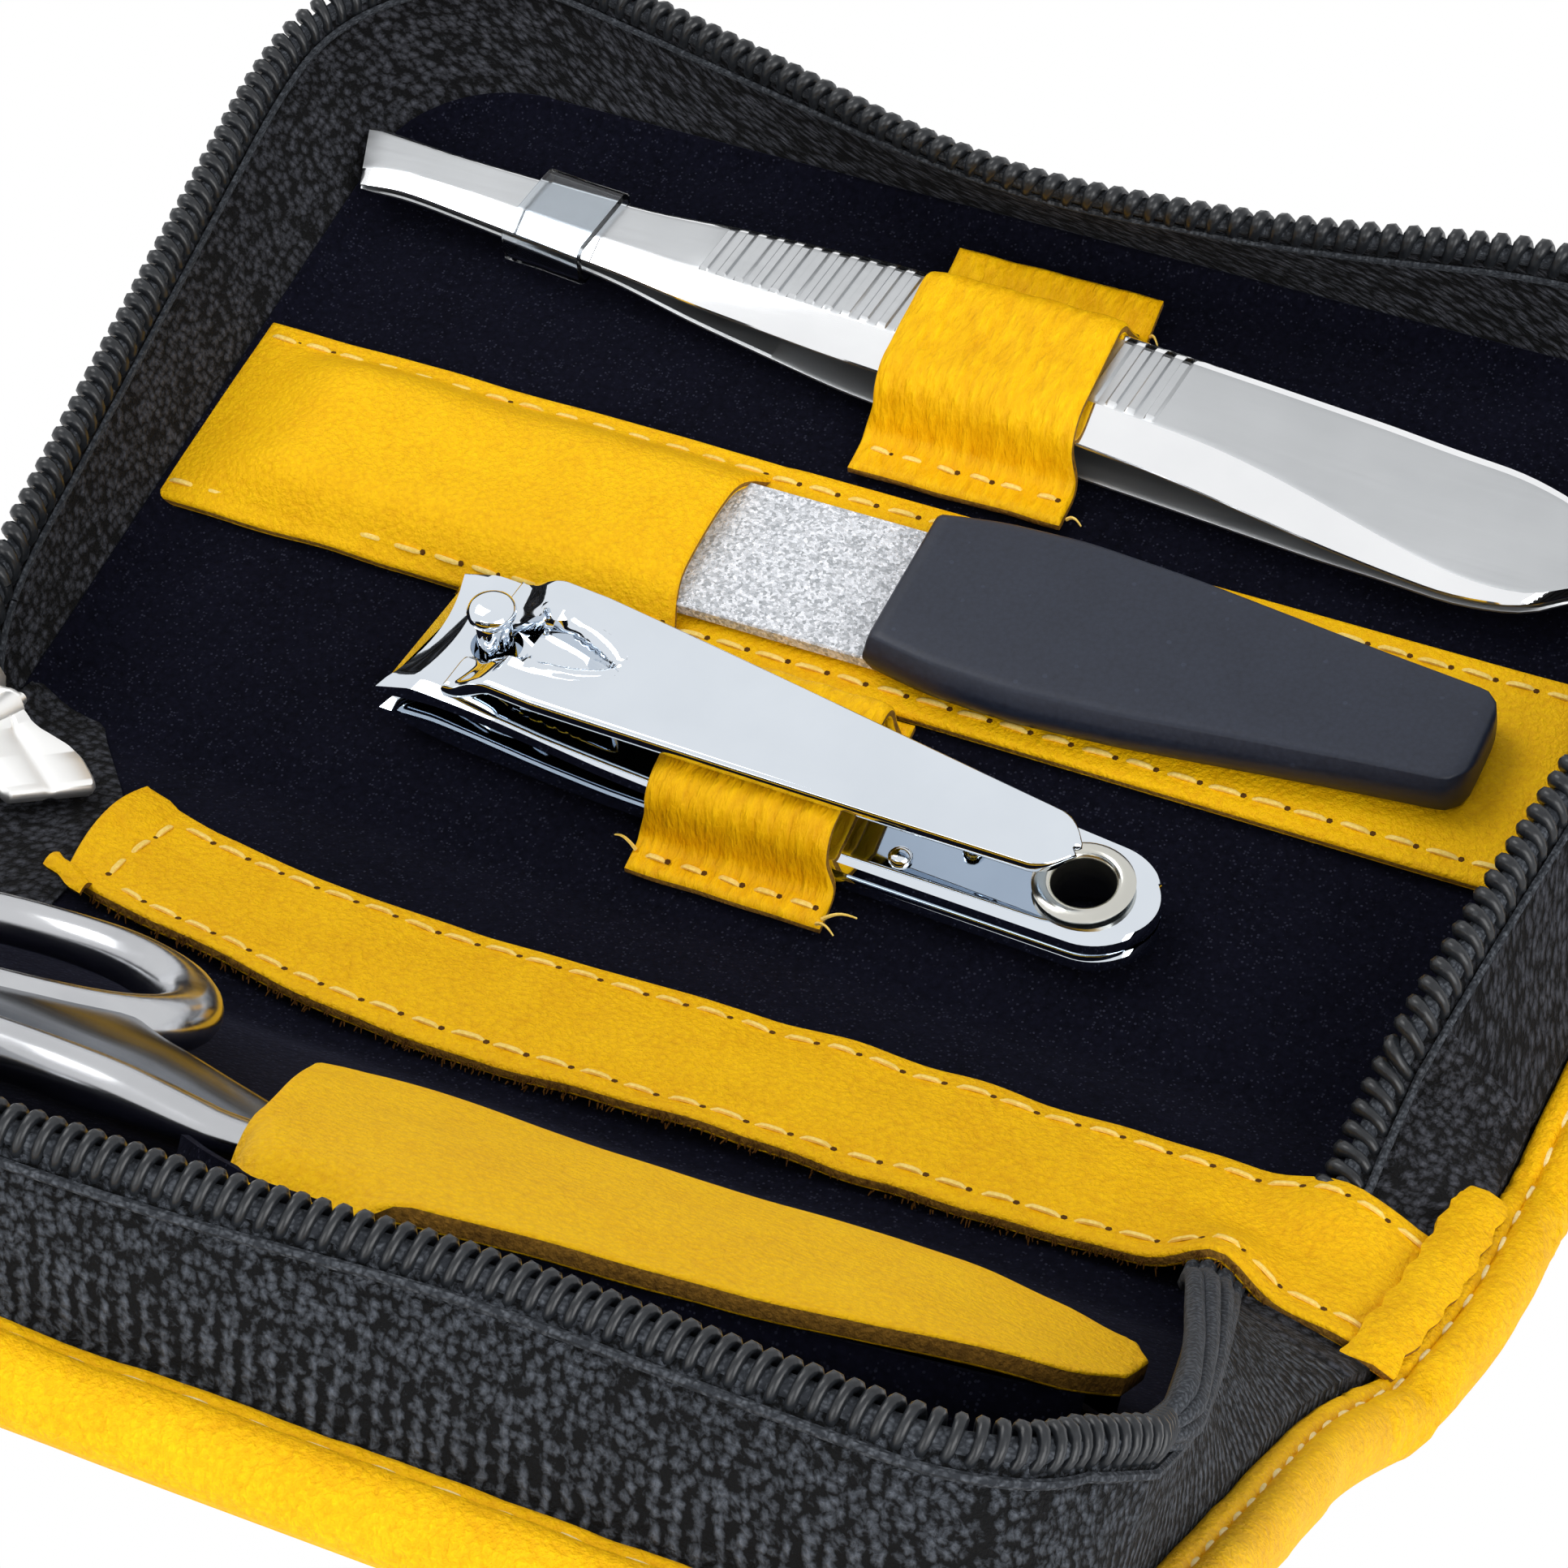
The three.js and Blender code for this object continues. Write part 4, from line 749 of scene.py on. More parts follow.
edgePiece("rearEdge", stationsBetween((-1, 1), reach, reach), "rear")
edgePiece("frontEdge", stationsBetween((1, -1), frontReach, frontReach), "front")
edgePiece("leftRearFoldEdge", stationsBetween((-1, -1), reach, middle), rearFold)
edgePiece("rightRearFoldEdge", stationsBetween((1, 1), reach, middle), rearFold)
edgePiece("leftFrontFoldEdge", stationsOfLeftFrontFold(), frontFold)
edgePiece("rightFrontFoldEdge", stationsBetween((1, 1), middle, frontReach), frontFold)
print("stage: case shell")

# Zip chains: a woven tape stands up from inside the edge and carries a coil of teeth

chain = {
    "rearStart": 7.2, "frontStart": -28.0, "drawnStart": -81.5,
    "foot": 1.6, "bend": 4.4, "underStrip": 1.1, "coilHeight": 12.1, "tapeThickness": 0.7,
    "rises": (0, 0.06, 0.14, 0.24, 0.36, 0.48, 0.6, 0.7, 0.78, 0.86, 0.94),
    "pitches": {"front": 1.0, "rightFrontRun": 1.0, "leftFrontRun": 1.0}, "pitch": 1.5,
    "wires": {"front": 0.29, "rightFrontRun": 0.2, "leftFrontRun": 0.29}, "wire": 0.4,
    "stepsPerTurn": 14, "coilAcross": 0.66, "coilUp": 0.98, "core": 0.66, "sewnCord": 0.26, "sewnDrop": 1.45,
    "corded": ("front", "rightFrontRun"),  # towards the strip these are drawn into lengthwise cords
    "cordFrom": -81.0, "cordTurns": [-65, -22, 22, 65], "cordRadius": 0.56, "cordAside": 0.9, "cordUp": 1.45,
    "rearLean": [
        (0, 0.14), (0.21, 0.52), (0.25, 0.5), (0.3, 0.36), (0.355, 0.13), (0.395, -0.05), (0.426, -0.21),
        (0.455, -0.31), (0.483, -0.37), (0.51, -0.34), (0.558, -0.25), (0.605, -0.07), (0.635, 0.07),
        (0.69, 0.1), (0.76, 0), (0.82, -0.12), (0.913, -0.41), (1, -0.53),
    ],
    "frontLean": [
        (0, -0.05), (0.25, -0.04), (0.49, -0.03), (0.54, -0.08), (0.6, -0.3), (0.65, -0.24), (0.72, -0.17),
        (0.79, -0.2), (0.843, -0.33), (0.9, -0.5), (1, -0.55),
    ],
    # past the hinge: distance, coil offset outward, coil height
    "rightRear": [
        (7.2, -6.4, 12.1), (3, -6.9, 11.4), (0, -7.3, 10.2), (-4, -7.6, 7.6), (-8, -7.6, 5.2),
        (-13, -7.4, 4.4),
    ],
    "leftRear": [(7.2, 1.7, 12.1), (3, 1.6, 10.6), (0, 1.5, 8.0), (-2.6, 1.3, 5.8), (-13, 1.3, 5.8)],
    # distance, place along X, coil height
    "rightFront": [
        (-82, 51.8, 11.9), (-70, 50.5, 10.8), (-53, 47.3, 9.2), (-37, 43.8, 8.2), (-28, 41.8, 6.3),
        (-23.4, 41.0, 5.2), (-22.0, 40.8, 4.5), (-20, 40.6, 4.2), (-13, 40.6, 4.2),
    ],
    "leftFront": [
        (-28, -0.6, 12.1), (-26, -0.2, 10.6), (-23.4, 0.7, 8.0), (-21, 1.2, 6.2), (-18.5, 1.3, 5.8),
        (-9, 1.3, 5.8),
    ],
}


def smoothed(values):  # over nine stations, the ends kept
    return np.concatenate([values[:4], np.convolve(values, np.ones(9) / 9, "valid"), values[-4:]])


def coilPlaces():  # offset outward and height of the coil at every station
    x, w = line.T
    offset, height = np.zeros(len(line)), np.full(len(line), chain["coilHeight"])
    rear, front = w >= chain["rearStart"], w <= chain["frontStart"]
    for mask, key in ((rear, "rearLean"), (front, "frontLean")):
        share = (lineAt[mask] - lineAt[mask][0]) / np.ptp(lineAt[mask])
        offset[mask] = table(1 - share if key == "frontLean" else share, chain[key]) * chain["coilHeight"]
    runs = {
        "rightRear": (x > 0) & ~rear & (w > middle),
        "leftRear": (x < 0) & ~rear & (w > middle),
        "rightFront": (x > 0) & (w > chain["drawnStart"]) & (w <= middle),
        "leftFront": (x < 0) & ~front & (w <= middle),
    }
    for key, mask in runs.items():
        at, aside, high = np.array(sorted(chain[key])).T
        offset[mask], height[mask] = np.interp(w[mask], at, aside), np.interp(w[mask], at, high)
        if key == "rightFront":
            offset[mask] += pinched(offset[mask], w[mask]) - x[mask]
    return smoothed(offset), smoothed(height)


coilOffset, coilHeight = coilPlaces()


def wallPoints(numbers, rise):  # rise 0 at the bend over the edge, 1 at the coil
    (x, w), out = line[numbers].T, lineOut[numbers].T * coilOffset[numbers] * rise
    underStrip = chain["underStrip"] * (x > 0) * ease((w + 25) / 2) * ease((-6.5 - w) / 2)
    bend = chain["bend"] - underStrip  # the tape lies flatter where the strip crosses it
    return gridOf(x + out[0], w + out[1], bend + (coilHeight[numbers] - bend) * rise)


def makeTape(name, numbers, body, cadNode):
    foot, out = gridOf(*line[numbers].T, chain["foot"]), gridOf(*lineOut[numbers].T, 0)
    wave = ripple(*line[numbers].T, 7.0, 0.35, 9) + 0.12
    columns = [foot, foot + [0, 0, 1.4]]
    for rise in chain["rises"]:
        columns.append(wallPoints(numbers, rise) + out * (wave * math.sin(math.pi * rise))[:, None])
    pile = Pile()
    thicken(pile, lay(np.stack(columns, 1), "case"), chain["tapeThickness"], "ab", 0.3, 0.6)
    finish = tapeWeave if name == "front" else knitTape
    settle(pile.piece(name + "Tape", [finish]), body, cadNode)


def makeCoil(name, numbers, body, cadNode):
    path = lay(wallPoints(numbers, 1), "case")
    up = unit(path - lay(wallPoints(numbers, 0.6), "case"))
    side = unit(np.cross(unit(np.gradient(path, axis=0)), up))
    s = lengths(path)
    turns = max(1, round(s[-1] / chain["pitches"].get(name, chain["pitch"])))
    at = np.linspace(0, s[-1], turns * chain["stepsPerTurn"] + 1)
    centre, across, rise = placesAt(at, s, path), unit(placesAt(at, s, side)), unit(placesAt(at, s, up))
    x, w = placesAt(at, s, line[numbers]).T
    drawn = ease((w - chain["cordFrom"]) / 12) * (x > 0) * (name in chain["corded"])
    turn = 2 * np.pi * at / s[-1] * turns
    radial = np.cos(turn)[:, None] * across * chain["coilAcross"]
    radial = (radial + np.sin(turn)[:, None] * rise * chain["coilUp"]) * (1 - 0.35 * drawn[:, None])
    head = 0.2 if name in chain["pitches"] else 0.42
    wire = chain["wires"].get(name, chain["wire"]) * (1 + head * np.clip(np.sin(turn), 0, 1) ** 2)
    pile = Pile()
    tube(pile, centre + radial, wire, 7, radial)
    tube(pile, (centre - rise * 0.1)[::7], chain["core"], 8, rise[::7], 1)
    for lift in (-0.6, 0.6):  # sewn cord on each face, under the teeth
        cord = centre + across * lift - rise * chain["sewnDrop"]
        tube(pile, cord[::5], chain["sewnCord"], 6, rise[::5], 1)
    if drawn.max() > 0:
        kept = np.flatnonzero(drawn > 0.02)[::4]
        aside = across[kept] * math.copysign(chain["cordAside"], across[kept[0], 0])
        high = rise[kept] * chain["cordUp"]
        for angle in np.radians(chain["cordTurns"]):
            spread = math.cos(angle) * aside + math.sin(angle) * high
            cord = centre[kept] + spread * drawn[kept, None]
            tube(pile, cord, chain["cordRadius"] * drawn[kept], 8, rise[kept], 1)
    settle(pile.piece(name + "Coil", [coilNylon, cordNylon]), body, cadNode)


for name, numbers, body, stem in (
    ("rear", stationsBetween((-1, 1), reach, reach), "rear", "rear_zip"),
    ("front", stationsBetween((1, -1), frontReach, frontReach), "front", "front_zip"),
    ("leftRearRun", stationsBetween((-1, -1), -9.6, reach), rearFold, "left_tail"),
    ("rightRearRun", stationsBetween((1, 1), reach, -10.4), rearFold, "right_tail"),
    ("rightFrontRun", stationsBetween((1, 1), -20.6, frontReach), frontFold, None),
    ("leftFrontRun", stationsOfLeftFrontFold(), frontFold, None),
):
    makeTape(name, numbers, body, stem and stem + "_tape")
    makeCoil(name, numbers, body, stem and stem + "_coil")
print("stage: zip")

# Woven tape lies over the left end of the spine, from under the slider to the strip

spineTape = {
    "left": -51.4, "height": 3.25, "thickness": 0.4,
    "right": [(-3.2, -47.0), (0, -45.0), (6.5, -39.6), (9, -38.4), (14, -37.2), (25, -36.4)],
}


def makeSpineTape():
    v, left = steps(-3.2, 24.6, 0.9), spineTape["left"]
    x = left + (table(v, spineTape["right"])[:, None] - left) * np.linspace(0, 1, 15)
    z = spineTape["height"] + ripple(x, v[:, None], 5.0, 0.12, 12)
    z = z + lining["cove"] * np.exp(-(x - left) / 1.6)
    pile = Pile()
    thicken(pile, lay(gridOf(x, v[:, None], z), "spine"), spineTape["thickness"])
    settle(pile.piece("spineTape", [knitTape]), "spine")


makeSpineTape()

# Straps in the rear half

band = {
    "left": -52.9, "right": 45.6, "near": 20.6, "far": 38.9, "height": 3.92, "thickness": 1.0,
    "mouth": -13.9, "mouthCurve": 1.4, "crown": 2.55, "fileMiddle": 29.25, "pocketHalf": 8.4, "stitchIn": 1.5,
    "crownOver": 9, "sink": 0.25, "sinkOver": 3, "endLift": 0.08, "endFrom": 40, "endOver": 6,
}


def makeBand():
    left, mouth, columns = band["left"], band["mouth"], steps(band["near"], band["far"], 0.5)
    rows, rightRows = steps(0, 1, 0.02, 0.012), steps(mouth - 3, band["right"], 1.2)
    share = np.abs((columns - band["fileMiddle"]) / band["pocketHalf"])
    opening = mouth + band["mouthCurve"] * share**3  # hollow, its corners reach further
    x = left + rows[:, None] * (opening - left)
    along = ease((x - left - 0.5) / band["crownOver"])
    z = band["height"] + band["crown"] * ease(1.18 - share**2.2 * 1.18) * along * (1 + 0.06 * np.sin(x / 4))
    z = z + ripple(x, columns, 6.0, 0.25, 2) * along
    pile, threads = Pile(), Pile()
    pocket = thicken(pile, lay(gridOf(x, columns, z), "rear"), band["thickness"], edgeSlot=1)
    x = rightRows[:, None]
    z = band["height"] - band["sink"] * (1 - ease((x - mouth) / band["sinkOver"]))
    z = z + band["endLift"] * ease((x - band["endFrom"]) / band["endOver"])
    flat = thicken(pile, lay(gridOf(x, columns, z), "rear"), band["thickness"], edgeSlot=1)
    settle(pile.piece("fileBand", [softHide, cutHide]), "rear", "file_band")
    for y in (band["near"] + band["stitchIn"], band["far"] - band["stitchIn"]):
        seam(threads, pocket, rows, columns, [(0.01, y), (0.985, y)])
        seam(threads, flat, rightRows, columns, [(mouth + 0.5, y), (band["right"] - 0.5, y)])
    settle(threads.piece("fileBandStitches", [goldThread, holeShadeAndFibre]), "rear")


def makeLoop(name, size, cadNode):
    path = resample(roundedPath(size["path"], size["radii"], 6), 0.35)
    columns, y, z = steps(0, 1, 0.05, 0.025), path[:, :1], path[:, 1:]
    high = ease((z - 4.2) / 3)
    flare = size["flare"] * (1 - high)
    wide = size["right"] - size["left"] + 2 * flare
    x = size["left"] - flare + columns * wide + size["skew"] * (y - y[0])
    z = z + high * 0.12 * np.sin(columns * np.pi) - 0.1 * high * np.cos(columns * 25)
    z = z + rumple(gridOf(x, y, z), 3.0, 0.16, 4)
    pile, threads = Pile(), Pile()
    strap = thicken(pile, lay(gridOf(x, y, z), "rear"), size["thickness"], keep=0.45, edgeSlot=1)
    settle(pile.piece(name, [ribbedHide, cutHide]), "rear", cadNode)
    for at in size["seams"]:
        seam(threads, strap, lengths(path), columns, [(at, 0.03), (at, 0.97)], pitch=2.2, length=1.6)
    t = np.linspace(0, 1, 8)[:, None]
    for start, way in size["frays"]:
        wisp = np.array(start) + np.array(way) * t + np.sin(3 * t) * [0, 0, 0.5]
        tube(threads, wisp, np.linspace(0.14, 0.06, 8), 5)
    settle(threads.piece(name + "Stitches", [goldThread, holeShadeAndFibre]), "rear")


tweezerLoop = {
    "left": -8.0, "right": 6.7, "thickness": 0.95, "flare": 0.5, "skew": -0.045,
    "path": [(40.3, 4.0), (44.0, 4.0), (44.9, 9.15), (55.3, 9.3), (58.4, 4.2), (62.6, 4.9)],
    "radii": [0, 1.6, 2.2, 2.2, 1.2, 0],
    "seams": [2.0, 24.2],
    "frays": [((7.6, 40.7, 4.6), (1.2, -0.4, 0.1)), ((6.4, 59.3, 4.6), (0.9, -0.9, 0.1))],
}
clipperLoop = {
    "left": -6.9, "right": 5.8, "thickness": 0.9, "flare": 0.5, "skew": -0.06,
    "path": [(2.2, 3.95), (5.2, 3.95), (5.4, 8.8), (17.7, 8.9), (18.0, 4.0), (20.1, 4.0)],
    "radii": [0, 1.3, 1.8, 1.8, 1.0, 0],
    "seams": [1.3],
    "frays": [
        ((-7.2, 3.6, 4.5), (-1.6, 0.3, 0.4)), ((6.2, 2.8, 4.4), (2.2, 0.6, 0.3)),
        ((6.0, 2.4, 4.3), (1.5, -0.7, 0.2)),
    ],
}
makeBand()
makeLoop("tweezerLoop", tweezerLoop, "tweezer_loop")
makeLoop("clipperLoop", clipperLoop, "clipper_loop")
print("stage: straps")

# Nail file

nailFile = {
    "bladeHalves": [(-43.0, 0.2), (-42.0, 0.5), (-39.0, 0.8), (-34.0, 1), (-10, 1), (9.4, 1)],
    "bladeWidth": 12.2, "bottom": 4.7, "bladeTop": 5.7, "bevel": 0.12,
    "handleLeft": 0.4, "handleRight": 41.0, "handleTop": 8.1,
    "handleWidths": [
        (0, 12.9), (0.03, 13.6), (0.12, 15.0), (0.26, 15.6), (0.45, 14.4), (0.8, 10.6), (0.97, 9.0), (1, 8.8),
    ],
    "handleSide": [
        (1.0, -0.25), (1.0, 0.05), (0.99, 0.3), (0.975, 0.42), (0.915, 0.84), (0.9, 0.9), (0.87, 0.95),
        (0.8, 0.985), (0.4, 1.0),
    ],
    "handleUnder": [(-0.94, -0.8), (-0.85, -1.0), (0, -1.0), (0.85, -1.0), (0.94, -0.8)],
}


def makeBlade():
    low, high, b = nailFile["bottom"], nailFile["bladeTop"], nailFile["bevel"]
    rings = []
    for x, share in nailFile["bladeHalves"]:
        half = share * nailFile["bladeWidth"] / 2
        inner = np.linspace(b - half, half - b, 7)
        ring = [(-half, low + b), (-half, high - b)] + [(y, high) for y in inner]
        ring += [(half, high - b), (half, low + b)] + [(y, low) for y in inner[::-1]]
        rings.append([(x, y + band["fileMiddle"], z) for y, z in ring])
    pile = Pile()
    loft(pile, lay(rings, "rear"))
    settle(pile.piece("fileBlade", [gritSteel], 30), "file", "file_blade")


def makeHandle():
    low, high = nailFile["bottom"], nailFile["handleTop"]
    shares = np.concatenate([[0, 0.004, 0.012], np.linspace(0.03, 0.97, 60), [0.988, 0.996, 1]])
    half = table(shares, nailFile["handleWidths"]) / 2 * (0.3 + 0.7 * domed((shares - 0.955) / 0.045, 2.6))
    rise = 0.45 + 0.55 * domed(1 - shares / 0.016) * domed((shares - 0.985) / 0.0151)
    side = nailFile["handleSide"]
    across, up = np.array(side + flipped(side) + nailFile["handleUnder"]).T
    x = nailFile["handleLeft"] + shares * (nailFile["handleRight"] - nailFile["handleLeft"])
    z = (low + high) / 2 + up * rise[:, None] * (high - low) / 2
    pile = Pile()
    loft(pile, lay(gridOf(x[:, None], across * half[:, None] + band["fileMiddle"], z), "rear"))
    settle(pile.piece("fileHandle", [handlePlastic], 40), "file", "file_handle")


makeBlade()
makeHandle()

# Tweezers

tweezers = {
    "tip": (-53.6, 55.2), "angle": math.radians(-4.8), "length": 96.5, "metal": 0.85, "middle": 6.02,
    "gap": 1.55, "rib": 0.22, "ribPitch": 1.45, "width": 12.4, "slant": 2.4, "facet": 4.2,
    "gaps": [
        (0, 0.08), (0.1, 0.09), (0.22, 0.14), (0.45, 0.9), (0.55, 1), (0.7, 0.8), (0.88, 0.1), (1, 0.08),
    ],
    "widths": [
        (0, 0.47), (0.03, 0.4), (0.06, 0.38), (0.155, 0.45), (0.24, 0.52), (0.31, 0.66), (0.43, 0.8),
        (0.55, 0.84), (0.7, 0.88), (0.82, 0.98), (0.92, 1), (0.965, 0.84), (0.985, 0.64), (0.995, 0.42),
        (1, 0.24),
    ],
    "ribRuns": [(0.3, 0.49), (0.59, 0.68)],
    "sleeve": {"from": 14.0, "length": 6.5, "wall": 0.4, "room": 0.3, "lip": 0.12},
}


def turnedPlace(spot, angle):  # gives the function that sets a tool down in the rear half
    c, s = math.cos(angle), math.sin(angle)
    turn = np.array([[c, s, 0], [-s, c, 0], [0, 0, 1]])

    def place(points):
        return lay(points @ turn + [spot[0], spot[1], 0], "rear")

    return place


placeTweezers = turnedPlace(tweezers["tip"], tweezers["angle"])


def ribHeight(share):
    height = np.zeros(len(share))
    for start, end in tweezers["ribRuns"]:
        turns = (share - start) * tweezers["length"] / tweezers["ribPitch"]
        inside = (share >= start) & (share <= end)
        height += inside * tweezers["rib"] * np.clip(np.sin(2 * np.pi * turns) * 2.2 + 0.4, 0, 1)
    return height


def makeLeg(upDown, name, cadNode):
    fine = np.concatenate([np.arange(a, b, 0.0011) for a, b in tweezers["ribRuns"]])
    shares = np.unique(np.round(np.concatenate([np.linspace(0, 1, 90), fine, [0.985, 0.99, 0.995]]), 5))
    x, half = shares * tweezers["length"], table(shares, tweezers["widths"]) * tweezers["width"] / 2
    inner = table(shares, tweezers["gaps"]) * tweezers["gap"]
    metal = tweezers["metal"] * (0.25 + 0.75 * np.sqrt(np.clip(x / tweezers["facet"], 0, 1)))
    ribbed = metal + ribHeight(shares)
    side = -0.3 - 0.55 * ease((shares - 0.7) / 0.3) - 0.15 * ease((0.1 - shares) / 0.1)
    corners = [
        (-1, 0.3 * metal), (-0.99, 0.4 * metal), (side - 0.03, 0.96 * metal), (side, metal),
        (side + 0.06, ribbed), (0.2, ribbed), (0.78, ribbed), (0.86, metal), (0.96, 0.9 * metal),
        (1, 0.7 * metal), (1, 0.15 * metal), (0.95, 0), (0, 0), (-0.95, 0), (-1, 0.12 * metal),
    ]
    lean = tweezers["slant"] * (1 - ease(shares * 14)) * half / 5
    rings = [gridOf(x - lean * a, a * half, tweezers["middle"] + upDown * (inner + z)) for a, z in corners]
    pile = Pile()
    loft(pile, placeTweezers(np.stack(rings, 1)))
    for number in range((len(x) - 1) * len(corners)):  # the facet beside the ribs and both edges shine
        pile.slots[number] = int(number % len(corners) in (0, 1, 7, 8, 9))
    settle(pile.piece(name, [satinSteel, polishedSteel], 24), "tweezers", cadNode)


def makeSleeve():
    size, middleHeight = tweezers["sleeve"], tweezers["middle"]
    start, end, lip, wall = size["from"], size["from"] + size["length"], size["lip"], size["wall"]
    share = end / tweezers["length"]
    wide = float(table(share, tweezers["widths"])) * tweezers["width"] / 2 + size["room"]
    high = float(table(share, tweezers["gaps"])) * tweezers["gap"] + tweezers["metal"] + size["room"]
    outside = [(start, 0.25), (start + lip, 1), ((start + end) / 2, 0.9), (end - lip, 1), (end, 0.25)]
    walls = [(x, wall * grow, 0.9) for x, grow in outside]
    walls += [(x, 0, 0.6) for x in np.linspace(end, start, 4)]
    rings = []
    for x, grow, radius in walls:
        a, b = wide + grow, high + grow
        ring = roundedPath([(-a, -b), (a, -b), (a, b), (-a, b)], [radius] * 4, 5)
        rings.append(gridOf(x, ring[:, 0], middleHeight + ring[:, 1]))
    pile = Pile()
    loft(pile, placeTweezers(np.array(rings)), closed=True)
    settle(pile.piece("tweezerSleeve", [clear]), "sleeve", "tweezer_sleeve")


makeLeg(1, "tweezerUpperLeg", "tweezer_upper_leg")
makeLeg(-1, "tweezerLowerLeg", "tweezer_lower_leg")
makeSleeve()
print("stage: file and tweezers")

# Nail clipper

clipper = {
    "edge": (-27.4, 13.4), "angle": math.radians(-4.8),
    "length": 54.0, "front": 11.4, "rear": 8.6, "metal": 1.3, "dip": 1.3, "post": 6.1, "eyelet": 49.0,
    "bottom": 4.1, "rearTop": 7.0, "frontTop": 8.9,
    "postHole": 1.75, "eyeletHole": 2.6,
    "postProfile": [  # radius, height
        (0.02, 3.4), (1.9, 3.4), (1.95, 3.55), (1.95, 3.78), (1.45, 3.8), (1.2, 9.0), (1.2, 11.2),
        (1.05, 11.4), (1.4, 11.6), (1.62, 11.9), (1.66, 12.2), (1.55, 12.5), (1.3, 12.72), (0.95, 12.86),
        (0.5, 12.93), (0.02, 12.95),
    ],
    "eyeletProfile": [
        (2.05, 3.48), (2.4, 3.43), (3.0, 3.48), (3.25, 3.78), (2.5, 3.83), (2.5, 7.15), (3.2, 7.25),
        (3.3, 7.48), (3.0, 7.7), (2.45, 7.75), (2.15, 7.6), (2.05, 7.3),
    ],
    "rivets": {"clipperRivetNear": (37.6, -3.0), "clipperRivetFar": (39.2, 3.4)},
    "rivetProfile": [(0.02, 6.8), (0.8, 6.8), (0.8, 7.25), (0.62, 7.5), (0.3, 7.62), (0.02, 7.64)],
}
lever = {
    "from": 5.0, "to": 48.4, "front": 10.4, "tail": 4.6, "metal": 1.1, "frontTop": 11.6, "tailTop": 10.7,
    "foot": 9.7, "footRise": 3.5, "footArch": 0.9, "notchHalf": 2.0, "notchEnd": 9.0,
    "dentEnd": 15.6, "dentHalf": 2.4, "dentDepth": 1.5, "dentLip": 0.14, "dentOverlap": 0.4,
    "fineEnd": 17, "taperFrom": 0.16, "crown": 0.12, "footLong": 1.1,
}
placeClipper = turnedPlace(clipper["edge"], clipper["angle"])


def cutHoles(piece, holes):  # place along the clipper and radius of each
    cutters = []
    for x, radius in holes:
        pile = Pile()
        loft(pile, placeClipper(roundRings([(radius, 0), (radius, 20)], 40, (x, 0))))
        cutters.append(pile.piece("cutter", [chrome]))
        change = piece.modifiers.new("cut", "BOOLEAN")
        change.object, change.operation, change.solver = cutters[-1], "DIFFERENCE", "EXACT"
    graph = bpy.context.evaluated_depsgraph_get()
    mesh = bpy.data.meshes.new_from_object(piece.evaluated_get(graph))
    piece.modifiers.clear()
    piece.data = mesh
    for cutter in cutters:
        bpy.data.objects.remove(cutter)
    mesh.set_sharp_from_angle(angle=math.radians(35))


def jawHalf(x):
    front, rear = clipper["front"] / 2, clipper["rear"] / 2
    tail = clipper["length"] - rear
    half = np.where(x < tail / 3, front, front + (rear - front) * (x - tail / 3) / (tail * 2 / 3))
    return np.where(x > tail, np.sqrt(np.clip(rear**2 - (x - tail) ** 2, 0.01, None)), half)


def makeJaw(name, bottoms, tops, body, cadNode):
    rear = clipper["rear"] / 2
    tail, shares = clipper["length"] - rear, np.linspace(-1, 1, 15)
    roundEnd = tail + rear * np.sin(np.linspace(0, 1.56, 16))
    xs = np.unique(np.concatenate([np.linspace(0, 10, 21), np.linspace(10, tail, 30), roundEnd]))[:, None]
    low, high = table(xs, bottoms), table(xs, tops)
    bevel = np.minimum(0.22, 0.4 * (high - low)) * (np.abs(shares) == 1)
    x = xs + clipper["dip"] * (1 - ease(xs / 6)) * (1 - shares**2)
    y = shares * jawHalf(xs) * 0.985
    top, under = gridOf(x, y, high - bevel), gridOf(x, y, low + bevel)[:, ::-1]
    pile = Pile()
    loft(pile, placeClipper(np.concatenate([top, under], 1)))
    piece = pile.piece(name, [chrome], 35)
    cutHoles(piece, [(clipper["post"], clipper["postHole"]), (clipper["eyelet"], clipper["eyeletHole"])])
    settle(piece, body, cadNode)


